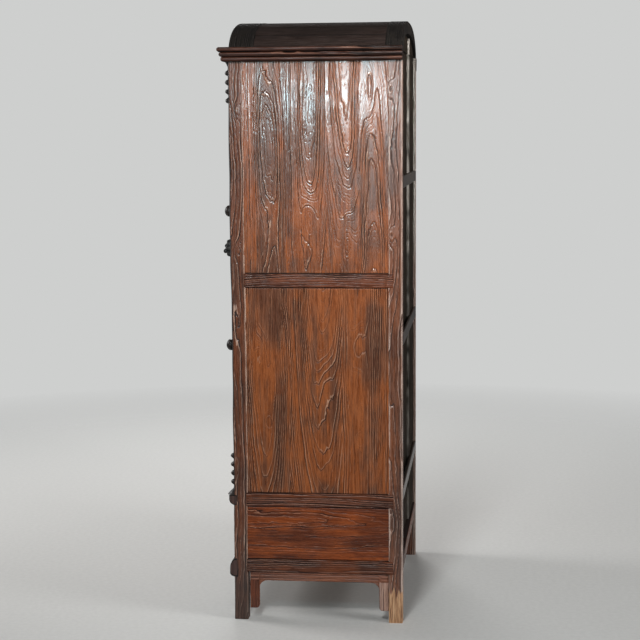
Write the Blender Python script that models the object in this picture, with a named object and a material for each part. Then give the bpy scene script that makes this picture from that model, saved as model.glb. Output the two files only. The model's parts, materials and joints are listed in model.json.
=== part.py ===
"""Arched-top cabinet: an elm frame-and-panel case under a barrel roof, with two doors on wooden
pivots, one drawer, split columns on the front posts and an iron drop pull.

X runs to the cabinet's right, Y to its back and Z up, all in metres. The origin is at the bottom
centre of the whole piece.
"""

import math

import bmesh
import bpy
from mathutils import Vector

# Case and joinery
CASE_WIDTH = 0.880
CASE_DEPTH = 0.540
POST_SIZE = 0.045
FIT = 0.0003
RAIL_HEIGHT = 0.0455
RAIL_THICKNESS = 0.030
RAIL_SETBACK = 0.002
TENON_LENGTH = 0.015
TENON_THICKNESS = 0.012
TENON_SHOULDER = 0.010
SIDE_TENON_INSET = 0.004
PANEL_THICKNESS = 0.015
PANEL_SETBACK = 0.001
PANEL_GAP = 0.0008
TONGUE_DEPTH = 0.008

# Heights of the rails' lower edges
BOTTOM_RAIL_Z = 0.157
LOWER_RAIL_Z = 0.375
MID_RAIL_Z = 1.082

# Cornice and barrel roof
CORNICE_Z = 1.789
REED_HEIGHT = 0.015
REED_REACHES = (0.022, 0.027, 0.033)
CORNICE_RAIL_DEPTH = 0.043
ARCH_RISE = 0.1420
ARCH_FULLNESS = 0.8
RIB_THICKNESS = 0.040
FRONT_RIB_DEPTH = 0.074
BACK_RIB_DEPTH = 0.054
RIB_LEDGE = 0.012
ROOF_STEP = 0.001
ROOF_THICKNESS = 0.018
GABLE_WALL = 0.014
TYMPANUM_SETBACK = 0.012
TYMPANUM_THICKNESS = 0.014

# Aprons between the feet
APRON_STRIP = 0.027
APRON_FOOT_Z = 0.0375
APRON_LEG = 0.030
APRON_THICKNESS = 0.014
APRON_SETBACK = 0.004
APRON_INNER_RADIUS = 0.026
APRON_TOE_RADIUS = 0.010

# Back boards and battens
BATTEN_CENTRES = {"upper": 1.412, "middle": 0.915, "lower": 0.4145}
BATTEN_HEIGHT = 0.037
BATTEN_THICKNESS = 0.008
BATTEN_TENON = 0.005
BACK_BOARD = 0.012
BACK_BOARD_STEP = 0.006
BACK_LAP = 0.012
BACK_SEAM_X = -0.142
BACK_RAIL_DEPTH = 0.038

# Shelf boards and front rails
SHELF_THICKNESS = 0.016
SHELF_DROP = 0.006
FRONT_RAIL_DEPTH = 0.040

# Doors
DOOR_GAP = 0.002
DOOR_THICKNESS = 0.024
STILE_WIDTH = 0.055
DOOR_PANEL = 0.012
DOOR_PANEL_SETBACK = 0.004
PIVOT_RADIUS = 0.006
PIVOT_LENGTH = 0.012

# Knobs, each on a spigot through the wood behind it
KNOB_RADIUS = 0.0185
KNOB_REACH = 0.0335
KNOB_BALL_DEPTH = 0.029
KNOB_NECK = 0.009
SPIGOT_RADIUS = 0.006
SPIGOT_LENGTH = 0.012
UPPER_KNOB_Z = 1.3215
LOWER_KNOB_Z = 0.890
DRAWER_KNOB_X = 0.200

# Iron drop pull
ROSETTE_Z = 1.203
ROSETTE_HALF_HEIGHT = 0.030
ROSETTE_HALF_WIDTH = 0.022
ROSETTE_DOME = 0.019
EAR_THICKNESS = 0.003
EAR_HALF_GAP = 0.004
EAR_RADIUS = 0.005
PULL_PIN_RADIUS = 0.002
PULL_PIN_REACH = 0.028
PULL_PIN_RISE = 0.007
DROP_RADIUS = 0.0072
DROP_LENGTH = 0.017
DROP_LEAN = 0.0043

# Drawer
DRAWER_FRONT = 0.022
DRAWER_WALL = 0.012
DRAWER_SIDE_HEIGHT = 0.135
DRAWER_SIDE_GAP = 0.004
DRAWER_HOUSING = 0.010
DRAWER_BOTTOM = 0.008
DRAWER_BOTTOM_RISE = 0.012
DRAWER_BOTTOM_TONGUE = 0.006
DRAWER_BACK_SPACE = 0.060
RUNNER_WIDTH = 0.045
RUNNER_HEIGHT = 0.018

# Split columns and front mouldings
BEAD_RADIUS = 0.0115
SHAFT_RADIUS = 0.007
BEAD_HEIGHT = 0.017
BEAD_PITCH = 0.0285
BEAD_COUNT = 4
COLUMN_HEAD = 0.034
COLUMN_FOOT = 0.0465
COLUMN_FLARE = 0.022
MOULDING_REACH = 0.0185
WAIST_DROP = 0.010
WAIST_HEIGHT = 0.0325
WAIST_LIP = 0.010
BASE_DROP = 0.001
BASE_HEIGHT = 0.0605

# Facets on curves
ARCH_FACETS = 24
ARC_FACETS = 4
ROUND_FACETS = 16

# Places that follow from the sizes above
HALF_WIDTH = CASE_WIDTH / 2
PULL_REACH = PULL_PIN_REACH + DROP_LEAN + DROP_RADIUS
FRONT_REACH = max(PULL_REACH, KNOB_REACH, REED_REACHES[-1], MOULDING_REACH)
FRONT = (FRONT_REACH - CASE_DEPTH) / 2
BACK = FRONT + CASE_DEPTH
INSIDE_X = HALF_WIDTH - POST_SIZE
INSIDE_FRONT = FRONT + POST_SIZE
INSIDE_BACK = BACK - POST_SIZE
RAIL_INNER_X = HALF_WIDTH - RAIL_SETBACK - RAIL_THICKNESS
BOTTOM_RAIL_TOP = BOTTOM_RAIL_Z + RAIL_HEIGHT
LOWER_RAIL_TOP = LOWER_RAIL_Z + RAIL_HEIGHT
MID_RAIL_TOP = MID_RAIL_Z + RAIL_HEIGHT
CORNICE_TOP = CORNICE_Z + REED_HEIGHT * len(REED_REACHES)
APRON_Z = BOTTOM_RAIL_Z - APRON_STRIP
BOARD_FACE = BACK - BATTEN_THICKNESS - FIT
BOARD_INNER = BOARD_FACE - BACK_BOARD_STEP - BACK_BOARD
HINGE_X = -INSIDE_X + DOOR_GAP + DOOR_THICKNESS / 2
HINGE_Y = FRONT + DOOR_THICKNESS / 2
FREE_STILE_X = INSIDE_X - DOOR_GAP - STILE_WIDTH / 2
WAIST_TOP = LOWER_RAIL_TOP - WAIST_DROP
ROOF_BASE = CORNICE_TOP + FIT


def linear(red, green, blue):
    """An 8-bit screen colour as the linear values that a shader takes."""
    return tuple(((c / 255 + 0.055) / 1.055) ** 2.4 for c in (red, green, blue)) + (1.0,)


def finish(name, colour, roughness, metallic=0.0):
    material = bpy.data.materials.new(name)
    material.use_nodes = True
    shader = material.node_tree.nodes["Principled BSDF"]
    shader.inputs["Base Color"].default_value = linear(*colour)
    shader.inputs["Roughness"].default_value = roughness
    shader.inputs["Metallic"].default_value = metallic
    return material


def grown(pair, by):
    return (min(pair) - by, max(pair) + by)


def shrunk(pair, by):
    return grown(pair, -by)


def rectangle(first, second):
    return [(first[0], second[0]), (first[1], second[0]), (first[1], second[1]), (first[0], second[1])]


def arc(centre, radii, start, end, steps):
    """Points along an ellipse between two angles in degrees, both ends included."""
    points = []
    for step in range(steps + 1):
        angle = math.radians(start + (end - start) * step / steps)
        points.append((centre[0] + radii[0] * math.cos(angle), centre[1] + radii[1] * math.sin(angle)))
    return points


def circle(centre, radius, steps=ROUND_FACETS):
    return arc(centre, (radius, radius), 0, 360 - 360 / steps, steps - 1)


def loft(axis, rings):
    """A closed bmesh through outlines of like count, each given as (place along the axis, points)."""
    bm = bmesh.new()
    loops = []
    for place, outline in rings:
        loop = []
        for point in outline:
            corner = list(point)
            corner.insert(axis, place)
            loop.append(bm.verts.new(corner))
        loops.append(loop)
    bm.faces.new(loops[0])
    bm.faces.new(loops[-1])
    for low, high in zip(loops, loops[1:]):
        for index in range(len(low)):
            following = (index + 1) % len(low)
            bm.faces.new((low[index], low[following], high[following], high[index]))
    return bm


def prism(axis, outline, ends):
    return loft(axis, [(min(ends), outline), (max(ends), outline)])


def block(x, y, z):
    return prism(2, rectangle(sorted(x), sorted(y)), z)


def empty(name, place, parent=None):
    pivot = bpy.data.objects.new(name, None)
    pivot.empty_display_size = 0.05
    pivot.location = Vector(place) - (place_of(parent) if parent else Vector())
    pivot.parent = parent
    bpy.context.scene.collection.objects.link(pivot)
    return pivot


def place_of(pivot):
    return pivot.location + (place_of(pivot.parent) if pivot.parent else Vector())


def piece(name, bm, material, pivot, rounded=False):
    """A named solid that hangs on a pivot, with its own origin there."""
    bmesh.ops.translate(bm, verts=bm.verts, vec=-place_of(pivot))
    bmesh.ops.recalc_face_normals(bm, faces=bm.faces)
    mesh = bpy.data.meshes.new(name)
    bm.to_mesh(mesh)
    bm.free()
    if material:
        mesh.materials.append(material)
    if rounded:
        mesh.shade_smooth()
        mesh.set_sharp_from_angle(angle=math.radians(40))
    obj = bpy.data.objects.new(name, mesh)
    obj.parent = pivot
    bpy.context.scene.collection.objects.link(obj)
    return obj


def combine(operation, bm, hosts):
    """Cut a hidden helper solid from its hosts, or join it to them."""
    helper = piece(f"helper_{hosts[0].name}_{len(hosts[0].modifiers)}", bm, None, hosts[0].parent)
    helper.hide_render = True
    helper.display_type = "WIRE"
    for host in hosts:
        modifier = host.modifiers.new(operation.title(), "BOOLEAN")
        modifier.operation = operation
        modifier.solver = "EXACT"
        modifier.object = helper


def cut(bm, *hosts):
    combine("DIFFERENCE", bm, hosts)


def join(bm, host):
    combine("UNION", bm, [host])


def pocket(x, y, z, *hosts):
    """The seat for a rectangular tenon, tongue or board, with the fit gap all round it."""
    cut(block(grown(x, FIT), grown(y, FIT), grown(z, FIT)), *hosts)


def tenoned_rail(name, axis, ends, first, second, tenon_first, tenon_second, material, pivot, posts):
    """A rail between two shoulders, with a tenon on each end and the mortises for them."""
    shoulders = shrunk(ends, FIT)
    tips = grown(shoulders, TENON_LENGTH)
    body = rectangle(sorted(first), sorted(second))
    tenon = rectangle(sorted(tenon_first), sorted(tenon_second))
    rings = [(tips[0], tenon), (shoulders[0], tenon), (shoulders[0], body)]
    rings += [(shoulders[1], body), (shoulders[1], tenon), (tips[1], tenon)]
    rail = piece(name, loft(axis, rings), material, pivot)
    for tip, shoulder, post in zip(tips, shoulders, posts):
        pairs = [tenon_first, tenon_second]
        pairs.insert(axis, (tip, shoulder))
        pocket(*pairs, post)
    return rail


def tongued_panel(name, axis, faces, first, second, material, pivot, hosts):
    """A panel that fills an opening, with a tongue on all four edges in grooves of its frame."""
    low, high = sorted(faces)
    third = (high - low) / 3
    body = rectangle(shrunk(first, PANEL_GAP), shrunk(second, PANEL_GAP))
    tongue = rectangle(grown(first, TONGUE_DEPTH), grown(second, TONGUE_DEPTH))
    rings = [(low, body), (low + third, body), (low + third, tongue)]
    rings += [(high - third, tongue), (high - third, body), (high, body)]
    panel = piece(name, loft(axis, rings), material, pivot)
    pairs = [grown(first, TONGUE_DEPTH), grown(second, TONGUE_DEPTH)]
    pairs.insert(axis, (low + third, high - third))
    pocket(*pairs, *hosts)
    return panel


for old in list(bpy.data.objects):
    bpy.data.objects.remove(old)

FRAME_WOOD = finish("dark_elm_frame", (104, 72, 58), 0.45)
PANEL_WOOD = finish("brushed_elm_panel", (134, 94, 74), 0.40)
ROOF_WOOD = finish("roof_dark_wood", (42, 36, 34), 0.50)
CORNICE_WOOD = finish("cornice_wood", (64, 48, 38), 0.40)
BLACK_WOOD = finish("ebonised_wood", (22, 28, 28), 0.25)
INNER_WOOD = finish("bare_inner_wood", (120, 96, 74), 0.70)
BACK_WOOD = finish("back_board_wood", (58, 50, 42), 0.65)
IRON = finish("worn_iron", (36, 38, 40), 0.45, 1.0)

case = empty("case", (0, 0, 0))

# Posts at the four corners, from the floor to the top of the cornice
posts = {}
for depth, y in (("front", (FRONT, INSIDE_FRONT)), ("back", (INSIDE_BACK, BACK))):
    for hand, side in (("right", 1), ("left", -1)):
        x = (side * INSIDE_X, side * HALF_WIDTH)
        post = block(x, y, (0, CORNICE_TOP - FIT))
        posts[depth, hand] = piece(f"post_{depth}_{hand}", post, FRAME_WOOD, case)


def cornice_outline(side, face):
    """The section of a cornice rail: three half-round reeds, each stepping out over the one below."""
    radius = REED_HEIGHT / 2
    outward = [(-CORNICE_RAIL_DEPTH, CORNICE_Z)]
    for step, reach in enumerate(REED_REACHES):
        centre = (reach - radius, CORNICE_Z + REED_HEIGHT * step + radius)
        outward += arc(centre, (radius, radius), -90, 90, ARC_FACETS)
    outward.append((-CORNICE_RAIL_DEPTH, CORNICE_TOP))
    return [(face + side * out, z) for out, z in outward]


# Cornice rails, notched round the posts and mitred at the two front corners
overhang = REED_REACHES[-1] + POST_SIZE
cornice_z = grown((CORNICE_Z, CORNICE_TOP), FIT)
cornices = {}
front_outline = cornice_outline(-1, FRONT)
cornices["front"] = piece(
    "cornice_front",
    prism(0, front_outline, grown((-HALF_WIDTH, HALF_WIDTH), overhang)),
    CORNICE_WOOD, case, rounded=True,
)
for hand, side in (("right", 1), ("left", -1)):
    side_outline = cornice_outline(side, side * HALF_WIDTH)
    cornices[hand] = piece(
        f"cornice_{hand}", prism(1, side_outline, (FRONT - overhang, BACK)), CORNICE_WOOD, case, rounded=True
    )
    outer, inner = side * (HALF_WIDTH + overhang), side * (HALF_WIDTH - overhang)
    mitre_gap = FIT * math.sqrt(2)
    ahead = FRONT - overhang
    behind = FRONT + overhang
    side_waste = [(outer, ahead + mitre_gap), (inner, behind + mitre_gap)]
    side_waste += [(inner, ahead - overhang), (outer, ahead - overhang)]
    front_waste = [(outer, ahead), (inner, behind), (inner, behind + overhang), (outer, behind + overhang)]
    cut(prism(2, side_waste, cornice_z), cornices[hand])
    cut(prism(2, front_waste, cornice_z), cornices["front"])
    post_x = (side * INSIDE_X, side * HALF_WIDTH)
    pocket(post_x, (FRONT, INSIDE_FRONT), cornice_z, cornices[hand], cornices["front"])
    pocket(post_x, (INSIDE_BACK, BACK + FIT), cornice_z, cornices[hand])

# Side frames: three rails, three panels and a bracketed apron on each side
side_levels = {"mid": MID_RAIL_Z, "lower": LOWER_RAIL_Z, "bottom": BOTTOM_RAIL_Z}
side_length = (INSIDE_FRONT, INSIDE_BACK)
side_rails = {}


def apron_outline(first, top):
    """A strip with a short bracket leg at each end, rounded inside and at the toe."""
    start, end = shrunk(first, FIT)
    toe = APRON_TOE_RADIUS
    bend = APRON_INNER_RADIUS
    points = [(start, top), (start, APRON_FOOT_Z)]
    points += arc((start + APRON_LEG - toe, APRON_FOOT_Z + toe), (toe, toe), -90, 0, ARC_FACETS)
    points += arc((start + APRON_LEG + bend, APRON_Z - bend), (bend, bend), 180, 90, ARC_FACETS)
    points += arc((end - APRON_LEG - bend, APRON_Z - bend), (bend, bend), 90, 0, ARC_FACETS)
    points += arc((end - APRON_LEG + toe, APRON_FOOT_Z + toe), (toe, toe), 180, 270, ARC_FACETS)
    return points + [(end, APRON_FOOT_Z), (end, top)]


for hand, side in (("right", 1), ("left", -1)):
    pair = (posts["front", hand], posts["back", hand])
    rail_face = HALF_WIDTH - RAIL_SETBACK
    rail_x = (side * RAIL_INNER_X, side * rail_face)
    tenon_inner = RAIL_INNER_X + SIDE_TENON_INSET
    tenon_x = (side * tenon_inner, side * (tenon_inner + TENON_THICKNESS))
    for level, z in side_levels.items():
        rail_z = (z, z + RAIL_HEIGHT)
        inner_x = side * (INSIDE_X - RUNNER_WIDTH) if level == "bottom" else rail_x[0]
        side_rails[level, hand] = tenoned_rail(
            f"side_{level}_rail_{hand}", 1, side_length, (inner_x, rail_x[1]), rail_z,
            tenon_x, shrunk(rail_z, TENON_SHOULDER), FRAME_WOOD, case, pair,
        )
    relief_x = (side * (INSIDE_X - 2 * RUNNER_WIDTH), side * RAIL_INNER_X)
    relief_z = (BOTTOM_RAIL_Z - RUNNER_HEIGHT, BOTTOM_RAIL_TOP - RUNNER_HEIGHT)
    cut(block(relief_x, grown(side_length, POST_SIZE / 3), relief_z), side_rails["bottom", hand])
    panel_x = (side * (HALF_WIDTH - PANEL_SETBACK - PANEL_THICKNESS), side * (HALF_WIDTH - PANEL_SETBACK))
    openings = {
        "upper": (MID_RAIL_TOP, CORNICE_Z, cornices[hand], side_rails["mid", hand]),
        "middle": (LOWER_RAIL_TOP, MID_RAIL_Z, side_rails["mid", hand], side_rails["lower", hand]),
        "lower": (BOTTOM_RAIL_TOP, LOWER_RAIL_Z, side_rails["lower", hand], side_rails["bottom", hand]),
    }
    for level, (bottom, top, above, below) in openings.items():
        tongued_panel(
            f"side_panel_{level}_{hand}", 0, panel_x, side_length, (bottom, top),
            PANEL_WOOD, case, (*pair, above, below),
        )
    apron_face = HALF_WIDTH - APRON_SETBACK
    apron_x = (side * (apron_face - APRON_THICKNESS), side * apron_face)
    apron = prism(0, apron_outline(side_length, BOTTOM_RAIL_Z - FIT), apron_x)
    piece(f"side_apron_{hand}", apron, FRAME_WOOD, case)

# Front rails flush with the front posts, and the front apron
front_span = (-INSIDE_X, INSIDE_X)
front_posts = (posts["front", "left"], posts["front", "right"])
front_rail_y = (FRONT, FRONT + FRONT_RAIL_DEPTH)
front_tenon_y = (FRONT + TENON_SHOULDER, FRONT + TENON_SHOULDER + TENON_THICKNESS)
front_rails = {}
for level, z in side_levels.items():
    rail_z = (z, z + RAIL_HEIGHT)
    front_rails[level] = tenoned_rail(
        f"front_{level}_rail", 0, front_span, front_rail_y, rail_z,
        front_tenon_y, shrunk(rail_z, TENON_SHOULDER), FRAME_WOOD, case, front_posts,
    )
front_apron_y = (FRONT + APRON_SETBACK, FRONT + APRON_SETBACK + APRON_THICKNESS)
front_apron = prism(1, apron_outline(front_span, BOTTOM_RAIL_Z - FIT), front_apron_y)
piece("front_apron", front_apron, FRAME_WOOD, case)


def arch(inset, skirt=0.0):
    """The roof's full-shouldered arch, set in from its outside, down to the cornice and a straight skirt.

    It is an ellipse whose sine and cosine are raised to a power below one."""
    wide, tall = HALF_WIDTH - inset, ARCH_RISE - inset
    start = math.asin(((ROOF_BASE - CORNICE_Z) / tall) ** (1 / ARCH_FULLNESS))
    points = []
    for step in range(ARCH_FACETS + 1):
        turn = start + (math.pi - 2 * start) * step / ARCH_FACETS
        across = math.copysign(abs(math.cos(turn)) ** ARCH_FULLNESS, math.cos(turn))
        points.append((wide * across, CORNICE_Z + tall * math.sin(turn) ** ARCH_FULLNESS))
    if skirt:
        half = points[0][0]
        points = [(half, ROOF_BASE - skirt)] + points + [(-half, ROOF_BASE - skirt)]
    return points


def arch_band(outer_inset, inner_inset, y, skirt=0.0):
    return prism(1, arch(outer_inset, skirt) + arch(inner_inset, skirt)[::-1], y)


# Barrel roof: an arched rib at the front, a gable at the back, and a boarded shell between them
front_rib_back = FRONT + FRONT_RIB_DEPTH
gable_front = BACK - BACK_RIB_DEPTH
shell_inner = ROOF_STEP + ROOF_THICKNESS
front_rib = piece(
    "front_arch_rib",
    arch_band(0, RIB_THICKNESS, (FRONT, front_rib_back + RIB_LEDGE)),
    ROOF_WOOD, case, rounded=True,
)
gable = piece(
    "back_arch_gable", prism(1, arch(0), (gable_front - RIB_LEDGE, BACK)), ROOF_WOOD, case, rounded=True
)
hollow_y = (gable_front - 2 * RIB_LEDGE, BACK - GABLE_WALL)
cut(prism(1, arch(RIB_THICKNESS, REED_HEIGHT), hollow_y), gable)
for host, y in (
    (front_rib, (front_rib_back, front_rib_back + 2 * RIB_LEDGE)),
    (gable, (gable_front - 2 * RIB_LEDGE, gable_front)),
):
    cut(arch_band(-RIB_THICKNESS, shell_inner + FIT, y, REED_HEIGHT), host)
piece(
    "roof_shell",
    arch_band(ROOF_STEP, shell_inner, (front_rib_back + FIT, gable_front - FIT)),
    ROOF_WOOD, case, rounded=True,
)

# Tympanum under the front arch, let into a groove of the rib
tympanum_y = (FRONT + TYMPANUM_SETBACK, FRONT + TYMPANUM_SETBACK + TYMPANUM_THICKNESS)
tympanum_inset = RIB_THICKNESS - TONGUE_DEPTH
piece("front_tympanum", prism(1, arch(tympanum_inset), tympanum_y), CORNICE_WOOD, case)
cut(prism(1, arch(tympanum_inset - FIT, REED_HEIGHT), grown(tympanum_y, FIT)), front_rib)

# Back: a bottom rail, two lapped boards in grooves of the posts, and three battens over them
back_posts = (posts["back", "left"], posts["back", "right"])
back_face = BACK - RAIL_SETBACK
back_rail_y = (back_face - BACK_RAIL_DEPTH, back_face)
back_tenon_y = (back_face - TENON_SHOULDER - TENON_THICKNESS, back_face - TENON_SHOULDER)
bottom_z = (BOTTOM_RAIL_Z, BOTTOM_RAIL_TOP)
tenoned_rail(
    "back_bottom_rail", 0, front_span, back_rail_y, bottom_z,
    back_tenon_y, shrunk(bottom_z, TENON_SHOULDER), FRAME_WOOD, case, back_posts,
)
board_z = (BOTTOM_RAIL_TOP + FIT, CORNICE_TOP)
tongue_x = INSIDE_X + TONGUE_DEPTH
right_face = BOARD_FACE - BACK_BOARD_STEP
right_board_y = (BOARD_INNER, right_face)
left_inner = BOARD_FACE - BACK_BOARD
left_outline = [
    (-tongue_x, left_inner), (BACK_SEAM_X - FIT, left_inner), (BACK_SEAM_X - FIT, right_face + FIT),
    (BACK_SEAM_X + BACK_LAP, right_face + FIT), (BACK_SEAM_X + BACK_LAP, BOARD_FACE), (-tongue_x, BOARD_FACE),
]
piece("back_board_right", block((BACK_SEAM_X, tongue_x), right_board_y, board_z), BACK_WOOD, case)
piece("back_board_left", prism(2, left_outline, board_z), BACK_WOOD, case)
groove_z = (board_z[0], CORNICE_TOP + FIT)
pocket((INSIDE_X - TONGUE_DEPTH, tongue_x), right_board_y, groove_z, posts["back", "right"])
pocket((-INSIDE_X + TONGUE_DEPTH, -tongue_x), (left_inner, BOARD_FACE), groove_z, posts["back", "left"])
batten_y = (BACK - BATTEN_THICKNESS, BACK)
batten_tenon_y = shrunk(batten_y, (BATTEN_THICKNESS - BATTEN_TENON) / 2)
for level, centre in BATTEN_CENTRES.items():
    batten_z = grown((centre, centre), BATTEN_HEIGHT / 2)
    tenoned_rail(
        f"back_batten_{level}", 0, front_span, batten_y, batten_z,
        batten_tenon_y, shrunk(batten_z, BATTEN_HEIGHT / 4), FRAME_WOOD, case, back_posts,
    )

# Shelf boards, housed in the front and side rails and cut away round the posts
shelf_x = RAIL_INNER_X + TONGUE_DEPTH
shelf_front = FRONT + FRONT_RAIL_DEPTH - TONGUE_DEPTH
shelf_back = BOARD_INNER - FIT
notch_x = INSIDE_X - FIT
notch_front = INSIDE_FRONT + FIT
notch_back = INSIDE_BACK - FIT
shelf_right = [
    (notch_x, shelf_front), (notch_x, notch_front), (shelf_x, notch_front),
    (shelf_x, notch_back), (notch_x, notch_back), (notch_x, shelf_back),
]
shelf_outline = shelf_right + [(-x, y) for x, y in reversed(shelf_right)]
for name, level, top in (("mid_shelf", "mid", MID_RAIL_TOP), ("lower_floor", "lower", LOWER_RAIL_TOP)):
    shelf_z = (top - SHELF_DROP - SHELF_THICKNESS, top - SHELF_DROP)
    piece(name, prism(2, shelf_outline, shelf_z), INNER_WOOD, case)
    pocket((-notch_x, notch_x), (shelf_front, shelf_back), shelf_z, front_rails[level])
    for hand, side in (("right", 1), ("left", -1)):
        housing_x = (side * INSIDE_X, side * shelf_x)
        pocket(housing_x, (notch_front, notch_back), shelf_z, side_rails[level, hand])


def knob(name, x, z, hosts, pivot):
    """A turned ball knob on a spigot that goes through the wood behind it."""
    hole_back = FRONT + SPIGOT_LENGTH
    half_depth = KNOB_BALL_DEPTH / 2
    ball = (KNOB_REACH - half_depth, 0)
    rings = [(hole_back, SPIGOT_RADIUS), (FRONT - FIT, SPIGOT_RADIUS), (FRONT - FIT, KNOB_NECK)]
    for along, across in arc(ball, (half_depth, KNOB_RADIUS), 150, 10, 2 * ARC_FACETS):
        rings.append((FRONT - along, max(across, SPIGOT_RADIUS / 2)))
    outlines = [(y, circle((x, z), radius)) for y, radius in rings]
    piece(name, loft(1, outlines), BLACK_WOOD, pivot, rounded=True)
    hole = circle((x, z), SPIGOT_RADIUS + 2 * FIT)
    cut(prism(1, hole, (FRONT - KNOB_NECK, hole_back + FIT)), *hosts)


def pivot_socket(z, host):
    """A round socket, as deep on either side of a level face as a door's pivot pin reaches."""
    reach = PIVOT_LENGTH - DOOR_GAP + FIT
    hole = circle((HINGE_X, HINGE_Y), PIVOT_RADIUS + 2 * FIT)
    cut(prism(2, hole, (z - reach, z + reach)), host)


def door(level, bottom, top, rail_below, rail_above):
    """A framed door: pivot stile, free stile, two rails and a floating panel, hung on wooden pins."""
    pivot = empty(f"{level}_door_pivot", (HINGE_X, HINGE_Y, bottom + DOOR_GAP))
    height = shrunk((bottom, top), DOOR_GAP)
    thickness = (FRONT, FRONT + DOOR_THICKNESS)
    inner_left = -INSIDE_X + DOOR_GAP + STILE_WIDTH
    inner_right = INSIDE_X - DOOR_GAP - STILE_WIDTH
    half = DOOR_THICKNESS / 2
    outline = arc((HINGE_X, HINGE_Y), (half, half), 90, 270, 2 * ARC_FACETS)
    outline += [(inner_left, FRONT), (inner_left, FRONT + DOOR_THICKNESS)]
    stile = prism(2, outline, height)
    hinge_stile = piece(f"{level}_door_hinge_stile", stile, FRAME_WOOD, pivot, rounded=True)
    pins = prism(2, circle((HINGE_X, HINGE_Y), PIVOT_RADIUS), grown(height, PIVOT_LENGTH))
    join(pins, hinge_stile)
    free_x = (inner_right, INSIDE_X - DOOR_GAP)
    free_stile = piece(f"{level}_door_free_stile", block(free_x, thickness, height), FRAME_WOOD, pivot)
    stiles = (hinge_stile, free_stile)
    tenon_y = shrunk(thickness, (DOOR_THICKNESS - TENON_THICKNESS) / 2)
    span = (inner_left, inner_right)
    rails = []
    for place, low in (("bottom", height[0]), ("top", height[1] - STILE_WIDTH)):
        rail_z = (low, low + STILE_WIDTH)
        rails.append(tenoned_rail(
            f"{level}_door_{place}_rail", 0, span, thickness, rail_z,
            tenon_y, shrunk(rail_z, TENON_SHOULDER + TONGUE_DEPTH / 2), FRAME_WOOD, pivot, stiles,
        ))
    panel_face = FRONT + DOOR_PANEL_SETBACK
    tongued_panel(
        f"{level}_door_panel", 1, (panel_face, panel_face + DOOR_PANEL), span,
        shrunk(height, STILE_WIDTH), PANEL_WOOD, pivot, (*stiles, *rails),
    )
    pivot_socket(bottom, rail_below)
    pivot_socket(top, rail_above)
    return pivot, free_stile


# Two doors, one above the other, hung on the left and opened by the knobs on the right
upper_pivot, upper_free_stile = door(
    "upper", MID_RAIL_TOP, CORNICE_Z, front_rails["mid"], cornices["front"]
)
lower_pivot, lower_free_stile = door(
    "lower", LOWER_RAIL_TOP, MID_RAIL_Z, front_rails["lower"], front_rails["mid"]
)
knob("upper_door_knob", FREE_STILE_X, UPPER_KNOB_Z, [upper_free_stile], upper_pivot)
knob("lower_door_knob", FREE_STILE_X, LOWER_KNOB_Z, [lower_free_stile], lower_pivot)

# Iron drop pull on the upper door: an oval domed rosette with two ears, and a drop pinned between them
pin_y = FRONT - PULL_PIN_REACH
pin_z = ROSETTE_Z + PULL_PIN_RISE
rosette_rings = [(FRONT - FIT, 1.0)]
for across, along in arc((0, 0), (1.0, ROSETTE_DOME), 10, 85, 2 * ARC_FACETS):
    rosette_rings.append((FRONT - FIT - along, across))
rosette_outlines = []
for y, share in rosette_rings:
    radii = (ROSETTE_HALF_WIDTH * share, ROSETTE_HALF_HEIGHT * share)
    last = 360 - 360 / ROUND_FACETS
    rosette_outlines.append((y, arc((FREE_STILE_X, ROSETTE_Z), radii, 0, last, ROUND_FACETS - 1)))
rosette = piece("pendant_rosette", loft(1, rosette_outlines), IRON, upper_pivot, rounded=True)
ear_root = FRONT - ROSETTE_DOME / 2
for side in (1, -1):
    ear_x = [FREE_STILE_X + side * out for out in (EAR_HALF_GAP, EAR_HALF_GAP + EAR_THICKNESS)]
    ear_outline = arc((pin_y, pin_z), (EAR_RADIUS, EAR_RADIUS), 90, 270, 2 * ARC_FACETS)
    ear_outline += [(ear_root, pin_z - EAR_RADIUS), (ear_root, pin_z + EAR_RADIUS)]
    join(prism(0, ear_outline, ear_x), rosette)
ear_reach = EAR_HALF_GAP + EAR_THICKNESS
pin_hole = circle((pin_y, pin_z), PULL_PIN_RADIUS + FIT)
hole_x = grown((FREE_STILE_X, FREE_STILE_X), ear_reach + EAR_THICKNESS)
cut(prism(0, pin_hole, hole_x), rosette)

pull_pivot = empty("pendant_pivot", (FREE_STILE_X, pin_y, pin_z), upper_pivot)
drop_y = pin_y - DROP_LEAN
shank = EAR_HALF_GAP - FIT
drop_rings = [(pin_z + shank, pin_y, shank / 2), (pin_z + shank / 2, pin_y, shank)]
drop_rings += [(pin_z - shank, pin_y, shank), (pin_z - DROP_LENGTH + 1.3 * DROP_RADIUS, drop_y, shank)]
for down, across in arc((DROP_LENGTH, 0), (DROP_RADIUS, DROP_RADIUS), 140, 12, 2 * ARC_FACETS):
    drop_rings.append((pin_z - down, drop_y, across))
drop_outlines = [(z, circle((FREE_STILE_X, y), radius)) for z, y, radius in drop_rings]
drop = piece("pendant_drop", loft(2, drop_outlines), IRON, pull_pivot, rounded=True)
pin_x = grown((FREE_STILE_X, FREE_STILE_X), ear_reach)
join(prism(0, circle((pin_y, pin_z), PULL_PIN_RADIUS), pin_x), drop)

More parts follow.
